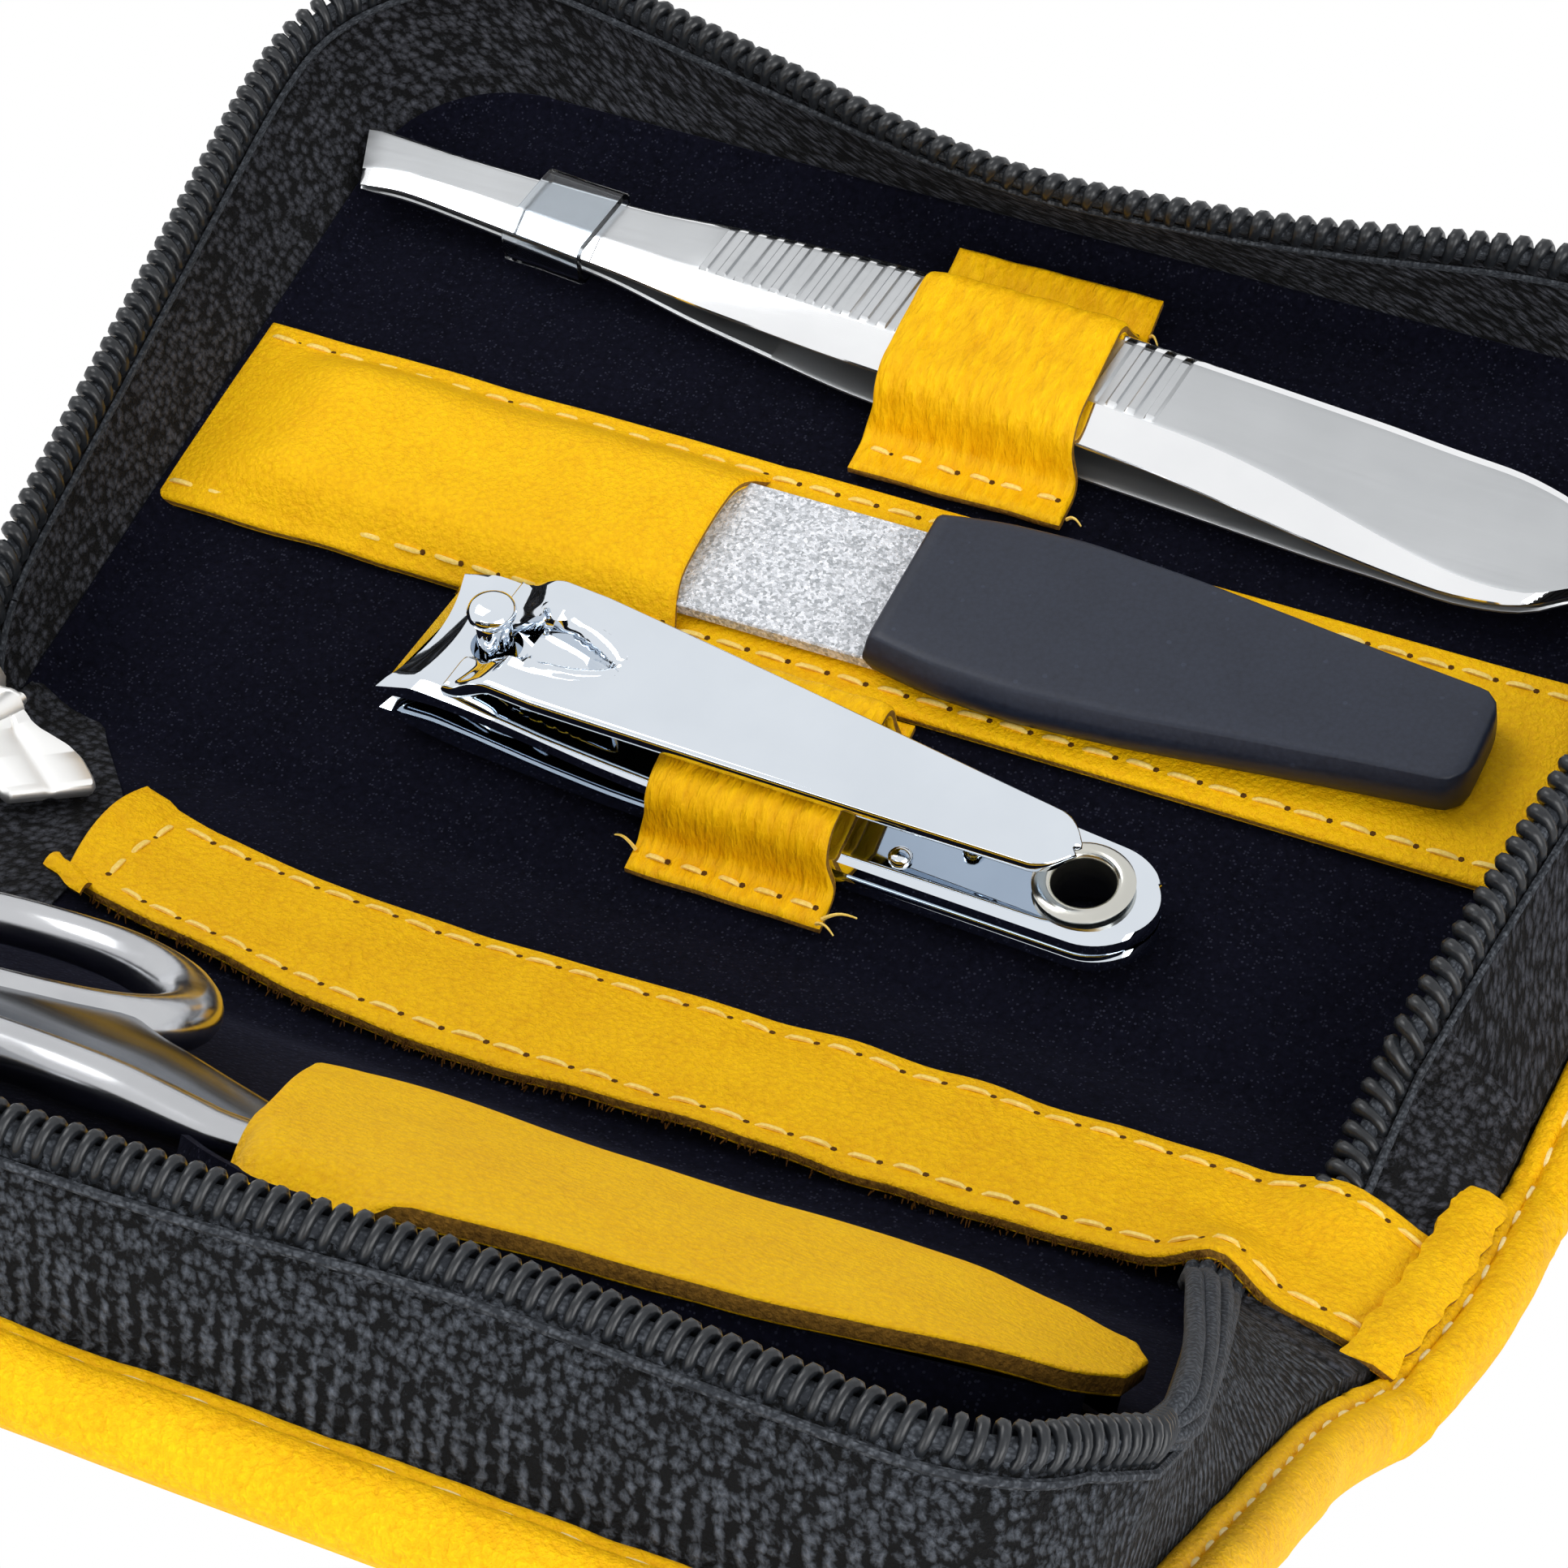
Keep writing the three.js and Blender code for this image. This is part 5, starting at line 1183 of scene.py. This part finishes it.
def makeLever():  # two feet stand on the jaw either side of the pin, and a pointed dent runs back from it
    start, end, notchEnd, tail = lever["from"], lever["to"], lever["notchEnd"], lever["tail"] / 2
    front = lever["front"] / 2
    notch = lever["notchHalf"] / front
    share = np.concatenate([
        steps(-1, -notch, 0.06, 0.05), np.linspace(-notch, notch, 25)[1:-1], steps(notch, 1, 0.06, 0.05),
    ])
    x = np.concatenate([
        steps(start, notchEnd, 0.16, 0.1), np.linspace(notchEnd, lever["fineEnd"], 60)[1:],
        np.arange(lever["fineEnd"] + 0.4, end - 2.4, 0.8),
        end - 2.3 * (1 - np.sin(np.linspace(0.1, 1.54, 14))),
    ])[:, None]
    t = np.clip((x - start) / (end - start), 0, 1)
    taper = (t - lever["taperFrom"]) / (1 - lever["taperFrom"])
    half = front + (tail - front) * np.clip(taper, 0, 1) ** 1.05
    y = half * domed(np.clip(x - (end - tail), 0, tail * 0.995) / tail) * share
    top = lever["frontTop"] + (lever["tailTop"] - lever["frontTop"]) * t - lever["crown"] * share**2
    arch = lever["footArch"] * np.abs(share) ** 2.5  # the feet reach furthest forward at the corners
    risen = ease((x - start - lever["footLong"] + arch) / lever["footRise"])
    z = lever["foot"] + (top - lever["foot"]) * risen
    dentStart = notchEnd - lever["dentOverlap"]
    u = (x - dentStart) / (lever["dentEnd"] - dentStart)
    wide = lever["dentHalf"] * domed(u, 1.6) + 1e-6
    inside = np.clip((wide - np.abs(y)) / 0.55, 0, 1) * (u < 1)
    z = z - lever["dentDepth"] * ease(inside) * (0.45 + 0.55 * ease((1 - u) * 2.2))
    z = z + lever["dentLip"] * mound(np.abs(y), wide + 0.2, 0.25) * ((u > 0) & (u < 1))
    cut = (share > -notch - 1e-6) & (share < notch - 1e-6) & (x < notchEnd - 0.01)
    pile = Pile()
    sheet = placeClipper(gridOf(x, y, z - lever["metal"] / 2))
    thicken(pile, sheet, lever["metal"], rim=0.3, keep=0.25, openAt=cut)
    settle(pile.piece("clipperLever", [chrome], 40), "lever", "clipper_lever")


def makeRound(name, profile, spot, sides, finish, sharp, body, cadNode=None, closed=False):
    pile = Pile()
    loft(pile, roundRings(profile, sides, placeClipper(np.array([[*spot, 0]]))[0]), closed=closed)
    settle(pile.piece(name, [finish], sharp), body, cadNode)


def makeClipper():
    z, t, rear, front = clipper["bottom"], clipper["metal"], clipper["rearTop"], clipper["frontTop"]
    makeJaw(
        "clipperLowerJaw",
        [(0, z + 1.2), (1.2, z + 0.6), (4.5, z), (54, z)],
        [(0, z + 1.55), (0.8, z + 1.6), (2.4, z + 1.8), (5, z + 1.9),
         (12, z + 1.45), (18, z + t), (54, z + t)],
        "clipper", "clipper_lower_jaw",
    )
    makeJaw(
        "clipperUpperJaw",
        [(0, front - 2.3), (0.8, front - 2.2), (3.6, front - t), (8.6, front - t),
         (32, rear - t), (54, rear - t)],
        [(0, front - 1.9), (0.6, front - 0.5), (1.6, front), (8.6, front), (32, rear), (54, rear)],
        "jaw", "clipper_upper_jaw",
    )
    post, eyelet = (clipper["post"], 0), (clipper["eyelet"], 0)
    makeRound("clipperPost", clipper["postProfile"], post, 40, chrome, 40, "lever", "clipper_post")
    ring = clipper["eyeletProfile"]
    makeRound("clipperEyelet", ring, eyelet, 48, eyeletMetal, 50, "clipper", "clipper_eyelet", closed=True)
    for name, spot in clipper["rivets"].items():
        makeRound(name, clipper["rivetProfile"], spot, 20, chrome, 50, "jaw")
    makeLever()


makeClipper()
print("stage: clipper")

# Spine strip

strip = {
    "left": -38.2, "right": 52.4, "height": 3.95, "thickness": 1.05, "crown": 0.35,
    "seams": (0.125, 0.875), "seamFrom": -33.6, "seamTo": 50.8, "endSeam": [(-34.2, 0.16), (-34.6, 0.84)],
    "hairs": 420, "hairRadii": [0.07, 0.055, 0.03],
    "meetFrom": 40, "meetOver": 12,  # the right end follows the drawn-in edge
    "curl": 0.54, "curlFrom": 0.86, "curlWave": 5.5,  # the far rim rolls up in places
    "skew": 1.1, "hollow": 2.2, "skewFrom": -34, "skewOver": 4,  # how the left end is cut
    "endLift": 0.9, "endFrom": -36, "endOver": 3.5, "fold": 0.5, "foldAt": (-36.4, 0.7), "foldTo": 0.4,
    "droop": 0.3, "droopFrom": 47.5, "droopOver": 3,
    "near": [
        (-38.2, 6.2), (-36, 6.9), (-33.5, 8.2), (-22.8, 10.2), (-5.8, 10.2), (10.3, 9.2), (36.6, 8.8),
        (52.4, 10.2),
    ],
    "far": [(-38.2, 17.9), (-30, 20.4), (-15.8, 23.0), (0.7, 23.0), (16.2, 22.4), (36, 21.3), (52.4, 23.0)],
    "overChain": (40.8, 2.6), "overRearChain": (44.6, 3.4), "chainLift": 2.1, "rearChainLift": 1.5,
    "tornFrom": -38.0, "tornTo": -34.8, "tornNear": 17.5, "tornWide": 1.5,
    "tornHeight": 5.15, "tornThick": 0.6,
    "flap": [(-1.5, 4.5), (-1.42, 4.72), (-0.9, 4.86), (0.2, 4.82), (1.0, 4.5), (1.5, 4.3)],
    "flapThickness": 0.75,
}


def makeStrip():
    xs, share = steps(strip["left"], strip["right"], 0.9), steps(0, 1, 0.035, 0.03)
    near, far = table(xs, strip["near"])[:, None], table(xs, strip["far"])[:, None]
    v, x = near + (far - near) * share, xs[:, None]
    meet = pinched(case["hingeHalf"], -v) * ease((x - strip["meetFrom"]) / strip["meetOver"])
    curlShare = ease((share - strip["curlFrom"]) / (1 - strip["curlFrom"]))
    curl = strip["curl"] * curlShare * (0.5 + 0.5 * np.sin(x / strip["curlWave"]))
    skewed = strip["skew"] * (share - 0.5) + strip["hollow"] * (share - 0.5) ** 2
    x = x + skewed * ease((strip["skewFrom"] - x) / strip["skewOver"]) - meet
    overChain = strip["chainLift"] * mound(x, *strip["overChain"]) * ease((share - 0.5) / 0.4)
    overRear = strip["rearChainLift"] * mound(x, *strip["overRearChain"]) * ease((0.55 - share) / 0.4)
    lifted = strip["endLift"] * ease((strip["endFrom"] - x) / strip["endOver"])
    lifted = lifted + strip["fold"] * mound(x, *strip["foldAt"]) * (share < strip["foldTo"])
    z = strip["height"] + strip["crown"] * np.sin(np.pi * share) + curl + overChain + overRear + lifted
    z = z - strip["droop"] * ease((x - strip["droopFrom"]) / strip["droopOver"]) + ripple(x, v, 5.0, 0.3, 6)
    pile, threads, fuzz = Pile(), Pile(), Pile()
    sheet = thicken(pile, lay(gridOf(x, v, z), "spine"), strip["thickness"], keep=0.5, edgeSlot=1)
    torn, wide = np.linspace(strip["tornFrom"], strip["tornTo"], 9)[:, None], np.linspace(0, 1, 6)
    inward = torn - strip["tornFrom"]
    ragged = strip["tornNear"] + strip["tornWide"] * wide + 0.12 * np.sin(torn * 3 + wide * 2) + 0.35 * inward
    lift = strip["tornHeight"] + 0.35 * np.sin(wide * 3) - 0.2 * inward
    thicken(pile, lay(gridOf(torn, ragged, lift), "spine"), strip["tornThick"], keep=0.6, edgeSlot=1)
    settle(pile.piece("spineStrip", [hide, cutHide]), "spine", "spine_strip")
    for at in strip["seams"]:
        seam(threads, sheet, xs, share, [(strip["seamFrom"], at), (strip["seamTo"], at)])
    seam(threads, sheet, xs, share, strip["endSeam"], pitch=2.4)
    settle(threads.piece("spineStripStitches", [goldThread, holeShadeAndFibre]), "spine")
    brink, ups = sheet[0][:, -1], sheet[1][:, -1]
    for _ in range(strip["hairs"]):
        i = dice.randrange(6, len(brink) - 12)
        start = brink[i] + (brink[i + 1] - brink[i]) * dice.random() - ups[i] * dice.uniform(0.1, 0.9)
        way = np.array([dice.uniform(-0.5, 0.5), -0.8, dice.uniform(-0.7, 0.1)]) * dice.uniform(0.12, 0.4)
        hair = [start - way * 0.3, start + way * 0.4, start + way + [0, 0, -0.06]]
        tube(fuzz, hair, strip["hairRadii"], 4)
    # the fibres share the finish of the painted-shade needle holes; on them it is their real dark brown
    settle(fuzz.piece("spineStripFuzz", [holeShadeAndFibre]), "spine")


def makeStripFlap():  # the inner rim of the border lies over the right end of the strip
    v, (across, up) = steps(4.6, 24.4, 0.8)[:, None], np.array(strip["flap"]).T
    x = case["hingeHalf"] + across - pinched(case["hingeHalf"], -v) + 0.15 * np.sin(v * 2.1 + across)
    z = up + ripple(x, v, 2.2, 0.18, 14) - 0.35 * (v > 22.5)
    pile = Pile()
    thicken(pile, lay(gridOf(x, v, z), "spine"), strip["flapThickness"], keep=0.5, edgeSlot=1)
    settle(pile.piece("spineEdgeFlap", [hide, cutHide]), "spine")


makeStrip()
makeStripFlap()

# Zip slider and pull on the left end of the spine

slider = {
    "x": -53.3, "at": 6.0, "length": 7.0, "inner": 1.54, "outer": 2.54, "bottom": 4.5, "top": 8.34,
    "armAside": 2.2, "arm": [0.55, 0.5, 0.55], "bar": 0.48, "barHalf": 2.6,
}
pull = {
    "pivot": (-49.455, 6.0, 6.345), "length": 8.6, "drop": math.radians(13), "turn": math.radians(-34),
    "halves": [
        (0, 1.4), (0.2, 1.45), (0.32, 2.3), (0.5, 3.3), (0.65, 3.6), (0.85, 3.5), (0.96, 3.35),
        (0.99, 3.1), (1, 2.8),
    ],
    "side": [(-1, 0), (-0.97, 0.6), (-0.9, 1), (-0.16, 1), (-0.05, 0.72)],
    "eye": [(1.05, -1.4), (1.05, 1.4), (0.62, 1.4), (0.62, -1.4)],  # radius, place across
}


def makeSlider():
    low, high, inner = slider["bottom"], slider["top"], slider["inner"]
    px, pv, ph = pull["pivot"]
    rings = []
    for t in np.linspace(-1, 1, 15):
        wide, roof = slider["outer"] * (1 - 0.16 * abs(t) ** 3), high - 0.35 * abs(t) ** 3
        outside = [(-inner, low), (0.2 - wide, low), (-wide, low + 0.3), (-wide, roof - 0.9)]
        outside.append((0.6 - wide, roof - 0.15))
        inside = [(inner, high - 1.3), (inner - 0.4, high - 1.0)]
        ring = outside + [(0, roof)] + flipped(outside) + inside + flipped(inside)
        rings.append([(slider["x"] + a, slider["at"] + t * slider["length"] / 2, h) for a, h in ring])
    pile = Pile()
    loft(pile, lay(rings, "spine"))
    for v in (pv - slider["armAside"], pv + slider["armAside"]):
        arm = [(slider["x"] + slider["outer"] - 0.3, v, ph + 0.1), (px - 0.6, v, ph + 0.25), (px, v, ph)]
        tube(pile, lay(arm, "spine"), slider["arm"], 10)
    bar = [(px, pv + a, ph) for a in np.linspace(-slider["barHalf"], slider["barHalf"], 7)]
    tube(pile, lay(bar, "spine"), slider["bar"], 14)
    settle(pile.piece("zipSlider", [zipSilver], 40), "slider", "zip_slider")


def placePull(p):  # lengthwise, sideways, up → turned, dropped and laid on the spine
    (px, pv, ph), x, y, z = pull["pivot"], p[..., 0], p[..., 1], p[..., 2]
    c, s, cd, sd = (f(pull[key]) for key in ("turn", "drop") for f in (math.cos, math.sin))
    bend = ease(x / 2.6)
    x, y = x * (1 - bend) + (x * c + y * s) * bend, y * (1 - bend) + (y * c - x * s) * bend
    return lay(gridOf(px + x * cd + z * sd, pv + y, ph - x * sd + z * cd), "spine")


def makePull():
    shares = np.concatenate([[0.09, 0.11], np.linspace(0.14, 0.96, 30), [0.98, 0.992, 1.0]])[:, None]
    lift = 0.5 * np.sqrt(np.maximum(0.04, 1 - np.maximum(0, (shares - 0.97) / 0.03) ** 2))
    face = pull["side"] + flipped(pull["side"])
    across, up = np.array(face + [(a, -b) for a, b in face[-2:0:-1]]).T
    pile, turn = Pile(), turnsOf(24)
    loft(pile, placePull(gridOf(shares * pull["length"], across * table(shares, pull["halves"]), up * lift)))
    eye = [gridOf(r * np.cos(turn), y, r * np.sin(turn)) for r, y in pull["eye"]]
    loft(pile, placePull(np.array(eye)), closed=True)
    settle(pile.piece("zipPull", [zipSilver], 40), "pull", "zip_pull")


makeSlider()
makePull()
print("stage: strip and slider")

# Scissors and their sheath, in the front half

scissors = {
    "pivot": (3.0, 31.5), "angle": math.radians(0.5), "length": 37.5, "width": 7.0, "metal": 1.3,
    "bladeOuter": [(-0.12, 1), (0, 0.92), (0.4, 0.5), (1, 0.2)],
    "bladeInner": [(-0.12, -0.5), (0, -1), (0.5, -0.75), (1, -0.2)],
    "bowAt": -30.5, "bowAside": 13.2, "bowMiddle": 6.75, "bowLong": 11.4, "bowWide": 9.3,
    "bowRadius": 1.62, "bowSwell": 0.28, "bowFlat": 0.92, "lower": 3.4, "upper": 5.0,
    "plateLow": [
        (-36, 4.6), (-33, 1.4), (-29, -0.5), (-25, -0.9), (-20, -0.8), (-14, -0.5), (-6, -0.3),
        (0.6, -0.2),
    ],
    "plateHigh": [
        (-36, 5.4), (-33, 4.6), (-29, 4.4), (-25, 5.4), (-22, 7.6), (-20.2, 9.6), (-19, 8.6), (-16.5, 6.9),
        (-12, 6.3), (-6, 5.9), (0.6, 5.2),
    ],
    "plateLevel": [(-36, 6.7), (-24, 6.6), (-16, 6.2), (-10, 5.2), (-4, 4.1), (0.6, 4.0)],
    "plateThick": [(-36, 1.6), (-24, 2.4), (-14, 2.2), (-6, 1.6), (0.6, 1.2)],
    "shank": [  # shares of the length and of half the width, height
        (-0.02, 0.2, 5.65), (-0.1, 0.5, 5.65), (-0.22, 0.85, 5.75), (-0.36, 0.98, 6.2), (-0.5, 1.05, 6.4),
        (-0.64, 1.25, 6.6), (-0.78, 1.75, 6.65),
    ],
    "tubeRadii": [(0, 1.9), (0.2, 2.0), (0.5, 1.85), (0.75, 1.75), (1, 1.5)],
    "tubeFlats": [(0, 0.36), (0.2, 0.45), (0.5, 0.85), (0.8, 0.95), (1, 1.0)],
    "screw": [
        (0.02, 3.4), (1.35, 3.4), (1.4, 3.5), (1.4, 5.8), (2.1, 5.8), (2.2, 5.9), (2.15, 6.2), (1.9, 6.3),
        (0.02, 6.3),
    ],
}
frontUp = lay([[0, 0, 1]], "front")[0] - lay([[0, 0, 0]], "front")[0]


def placeScissors(p):  # lengthwise, towards the fold, up
    c, s = math.cos(scissors["angle"]), math.sin(scissors["angle"])
    x = scissors["pivot"][0] + p[..., 0] * c - p[..., 1] * s
    u = scissors["pivot"][1] - (p[..., 0] * s + p[..., 1] * c)
    return lay(gridOf(x, u, p[..., 2]), "front")


def plateRings():  # the lower half widens into a flat plate that runs into its bow
    x = np.arange(-36, 0.6, 0.6)[:, None]
    low, high, level, thick = (table(x, scissors["plate" + key]) for key in ("Low", "High", "Level", "Thick"))
    turn = turnsOf(24, 0.5)
    bulge = np.sign(np.sin(turn)) * np.abs(np.sin(turn)) ** 0.45
    return gridOf(x, (low + high) / 2 + (high - low) / 2 * np.cos(turn), level + thick / 2 * bulge)


def makeScissorHalf(aside, bottom, name, body, cadNode):
    shares, wide = np.linspace(-0.12, 1, 30), scissors["width"] / 2 * aside
    a, b = (table(shares, scissors[key]) * wide for key in ("bladeOuter", "bladeInner"))
    corners = [(a, 0), (a, 0.8), (a + (b - a) * 0.15, 1), ((a + b) / 2, 1), (b, 0.35), (b, 0)]
    blade = [gridOf(shares * scissors["length"], y, bottom + scissors["metal"] * z) for y, z in corners]
    pile = Pile()
    loft(pile, placeScissors(np.stack(blade, 1)))
    turn = turnsOf(72)
    bow = gridOf(
        scissors["bowAt"] + scissors["bowLong"] * np.cos(turn),
        aside * scissors["bowAside"] + scissors["bowWide"] * np.sin(turn),
        scissors["bowMiddle"] - 0.5 * ease(np.cos(turn) - 0.2),
    )
    thick = scissors["bowRadius"] + scissors["bowSwell"] * ease(np.cos(turn) + 0.2)
    tube(pile, placeScissors(bow), thick, 16, frontUp, closed=True, flat=scissors["bowFlat"])
    if aside > 0:
        # slot 1 gives the plate the near-black steel, a painted reflection of the dark velvet
        loft(pile, placeScissors(plateRings()), 1)
    else:
        path = resample(np.array(scissors["shank"]) * [scissors["length"], wide, 1], 0.8)
        along = np.linspace(0, 1, len(path))
        flat = table(along, scissors["tubeFlats"])[:, None, None]
        tube(pile, placeScissors(path), table(along, scissors["tubeRadii"]), 18, frontUp, flat=flat)
    settle(pile.piece(name, [brushedSteel, paintedReflectionSteel], 40), body, cadNode)


def makeScrew():
    pile = Pile()
    loft(pile, placeScissors(roundRings(scissors["screw"], 32)))
    settle(pile.piece("scissorScrew", [polishedSteel], 40), "scissors", "scissor_screw")


sheath = {
    "near": [
        (-5.6, 21.6), (-4.6, 20.6), (-2, 20.0), (5, 20.0), (17, 20.2), (28, 18.7), (34, 18.6), (39, 19.7),
        (42.4, 22.0), (44.4, 26.2),
    ],
    "far": [
        (-5.6, 40.0), (-2, 42.6), (2, 44.4), (9, 43.8), (17, 41.6), (26.5, 39.2), (34, 36.8), (39, 35.0),
        (42.4, 33.0), (44.4, 29.0),
    ],
    "height": 7.5, "thickness": 1.25, "slant": 4.5, "slantFrom": 2, "slantOver": 8,
    "nearDrop": 3.4, "nearRound": 3.2, "nearEnd": 43.5, "farDrop": 3.6, "farRound": 3.4, "farEnd": 10.0,
    "fadeOver": 6, "crown": 0.55, "crownEnd": 42, "crownOver": 10, "tipDrop": 0.5, "tipFrom": 38,
    "wallInset": 0.55, "wallFoot": 3.4, "wallTop": 6.7, "wallThickness": 0.9,
}


def makeSheath():
    xs, share = steps(-5.6, 44.2, 0.8, 0.7), steps(0, 1, 0.03, 0.02)
    sides = []
    for key in ("near", "far"):  # partly rounded off
        plain, smooth = np.interp(xs, *np.array(sheath[key]).T), table(xs, sheath[key])
        sides.append(((plain + 2 * smooth) / 3)[:, None])
    near, far = sides
    u, x, over = near + (far - near) * share, xs[:, None], sheath["fadeOver"]
    x = x + sheath["slant"] * share * ease((sheath["slantFrom"] - x) / sheath["slantOver"])
    drop = sheath["nearDrop"] * (1 - domed(1 - (u - near) / sheath["nearRound"]))
    dropFar = sheath["farDrop"] * ease((sheath["farEnd"] - x) / over)
    dropFar = dropFar * (1 - domed(1 - (far - u) / sheath["farRound"]))
    crown = sheath["crown"] * np.sin(np.pi * share) * ease((sheath["crownEnd"] - x) / sheath["crownOver"])
    z = sheath["height"] + crown - drop * ease((sheath["nearEnd"] - x) / over) - dropFar
    z = z - sheath["tipDrop"] * ease((x - sheath["tipFrom"]) / over) + ripple(x, u, 7.0, 0.3, 8)
    pile, under = Pile(), Pile()
    thicken(pile, lay(gridOf(x, u, z), "front"), sheath["thickness"], rim=0.35, keep=0.72, edgeSlot=1)
    settle(pile.piece("sheathTop", [softHide, cutHide]), "front", "sheath_top")
    rows, inset = (xs > -4.6) & (xs < 43.2), sheath["wallInset"]
    levels = np.linspace(sheath["wallFoot"], sheath["wallTop"], 5)
    for brink in (near + inset + 0.4, far - inset):
        wall = gridOf(xs[rows, None], brink[rows], levels)
        thicken(under, lay(wall, "front"), sheath["wallThickness"], rim=0.3, keep=0.5)
    settle(under.piece("sheathGusset", [velvet]), "front", "sheath_gusset")


makeScissorHalf(1, scissors["lower"], "scissorLowerHalf", "scissors", "scissor_lower_half")
makeScissorHalf(-1, scissors["upper"], "scissorUpperHalf", "scissor", "scissor_upper_half")
makeScrew()
makeSheath()
print("stage: scissors")

# Camera, floor and light

shot = {
    "azimuth": 28.0, "elevation": 49.0, "roll": 5.0,
    "distance": 0.3, "lens": 107.05, "target": (0, 11, 6),
}
floor = {"half": 1.2, "height": -0.0002, "tone": 0.82}
lamps = [  # name, place in metres, size, power
    ("keyPanel", (-0.5, 0.16, 0.75), 0.45, 3.1),
    ("fillPanel", (0.65, -0.4, 0.4), 0.6, 5.4),
    ("frontPanel", (-0.2, -0.75, 0.4), 0.5, 2.3),
]
surround = {"Color": (0.93, 0.95, 1.0, 1), "Strength": 0.62}


def added(name, data):
    made = bpy.data.objects.new(name, data)
    scene.collection.objects.link(made)
    return made


def makeCamera():
    az, el, roll = (math.radians(shot[key]) for key in ("azimuth", "elevation", "roll"))
    back = Vector((math.sin(az) * math.cos(el), -math.cos(az) * math.cos(el), math.sin(el)))
    level = Vector((math.cos(az), math.sin(az), 0))
    rise = back.cross(level)
    right = level * math.cos(roll) - rise * math.sin(roll)
    up = level * math.sin(roll) + rise * math.cos(roll)
    lens = bpy.data.cameras.new("photoCamera")
    lens.lens, lens.sensor_width, lens.sensor_fit = shot["lens"], 36, "HORIZONTAL"
    lens.clip_start = 0.01
    spot = Vector(inFrame(shot["target"])) + back * shot["distance"]
    scene.camera = added("photoCamera", lens)
    scene.camera.matrix_world = Matrix.Translation(spot) @ Matrix((right, up, back)).transposed().to_4x4()


def whitened(tree, output, share, shader, kind):  # plain white where share is 1
    white = node(tree, kind, {"Color": (1, 1, 1, 1), "Strength": 1.0})
    blend = node(tree, "MixShader", {0: share, 1: shader.outputs[0], 2: white.outputs[0]})
    tree.links.new(blend.outputs[0], tree.nodes[output].inputs["Surface"])


def makeFloor():
    mesh, half = bpy.data.meshes.new("floor"), floor["half"]
    corners = [(x * half, y * half, floor["height"]) for x, y in ((-1, -1), (1, -1), (1, 1), (-1, 1))]
    mesh.from_pydata(corners, [], [(0, 1, 2, 3)])
    tone = (floor["tone"],) * 3 + (1,)
    material, tree, shader = newMaterial("paleFloor", {"Base Color": tone, "Roughness": 0.9})
    seen = node(tree, "LightPath").outputs["Is Camera Ray"]
    whitened(tree, "Material Output", seen, shader, "Emission")
    mesh.materials.append(material)
    added("floor", mesh)


def makeLight():
    for name, spot, size, power in lamps:
        light = bpy.data.lights.new(name, "AREA")
        light.shape, light.size, light.energy = "SQUARE", size, power
        made = added(name, light)
        made.location = spot
        made.rotation_euler = Vector(spot).to_track_quat("Z", "Y").to_euler()
    scene.world = bpy.data.worlds.new("studio")
    scene.world.use_nodes = True
    tree = scene.world.node_tree
    soft, path = tree.nodes["Background"], node(tree, "LightPath").outputs
    for label, value in surround.items():
        soft.inputs[label].default_value = value
    seen = maths(tree, "MAXIMUM", path["Is Camera Ray"], path["Is Glossy Ray"])
    seen = maths(tree, "MAXIMUM", seen, path["Is Transmission Ray"])  # also in a mirror or through glass
    whitened(tree, "World Output", seen, soft, "Background")


makeCamera()
makeFloor()
makeLight()
scene.view_settings.view_transform = "Standard"
print("stage: camera and light")

bpy.context.view_layer.update()
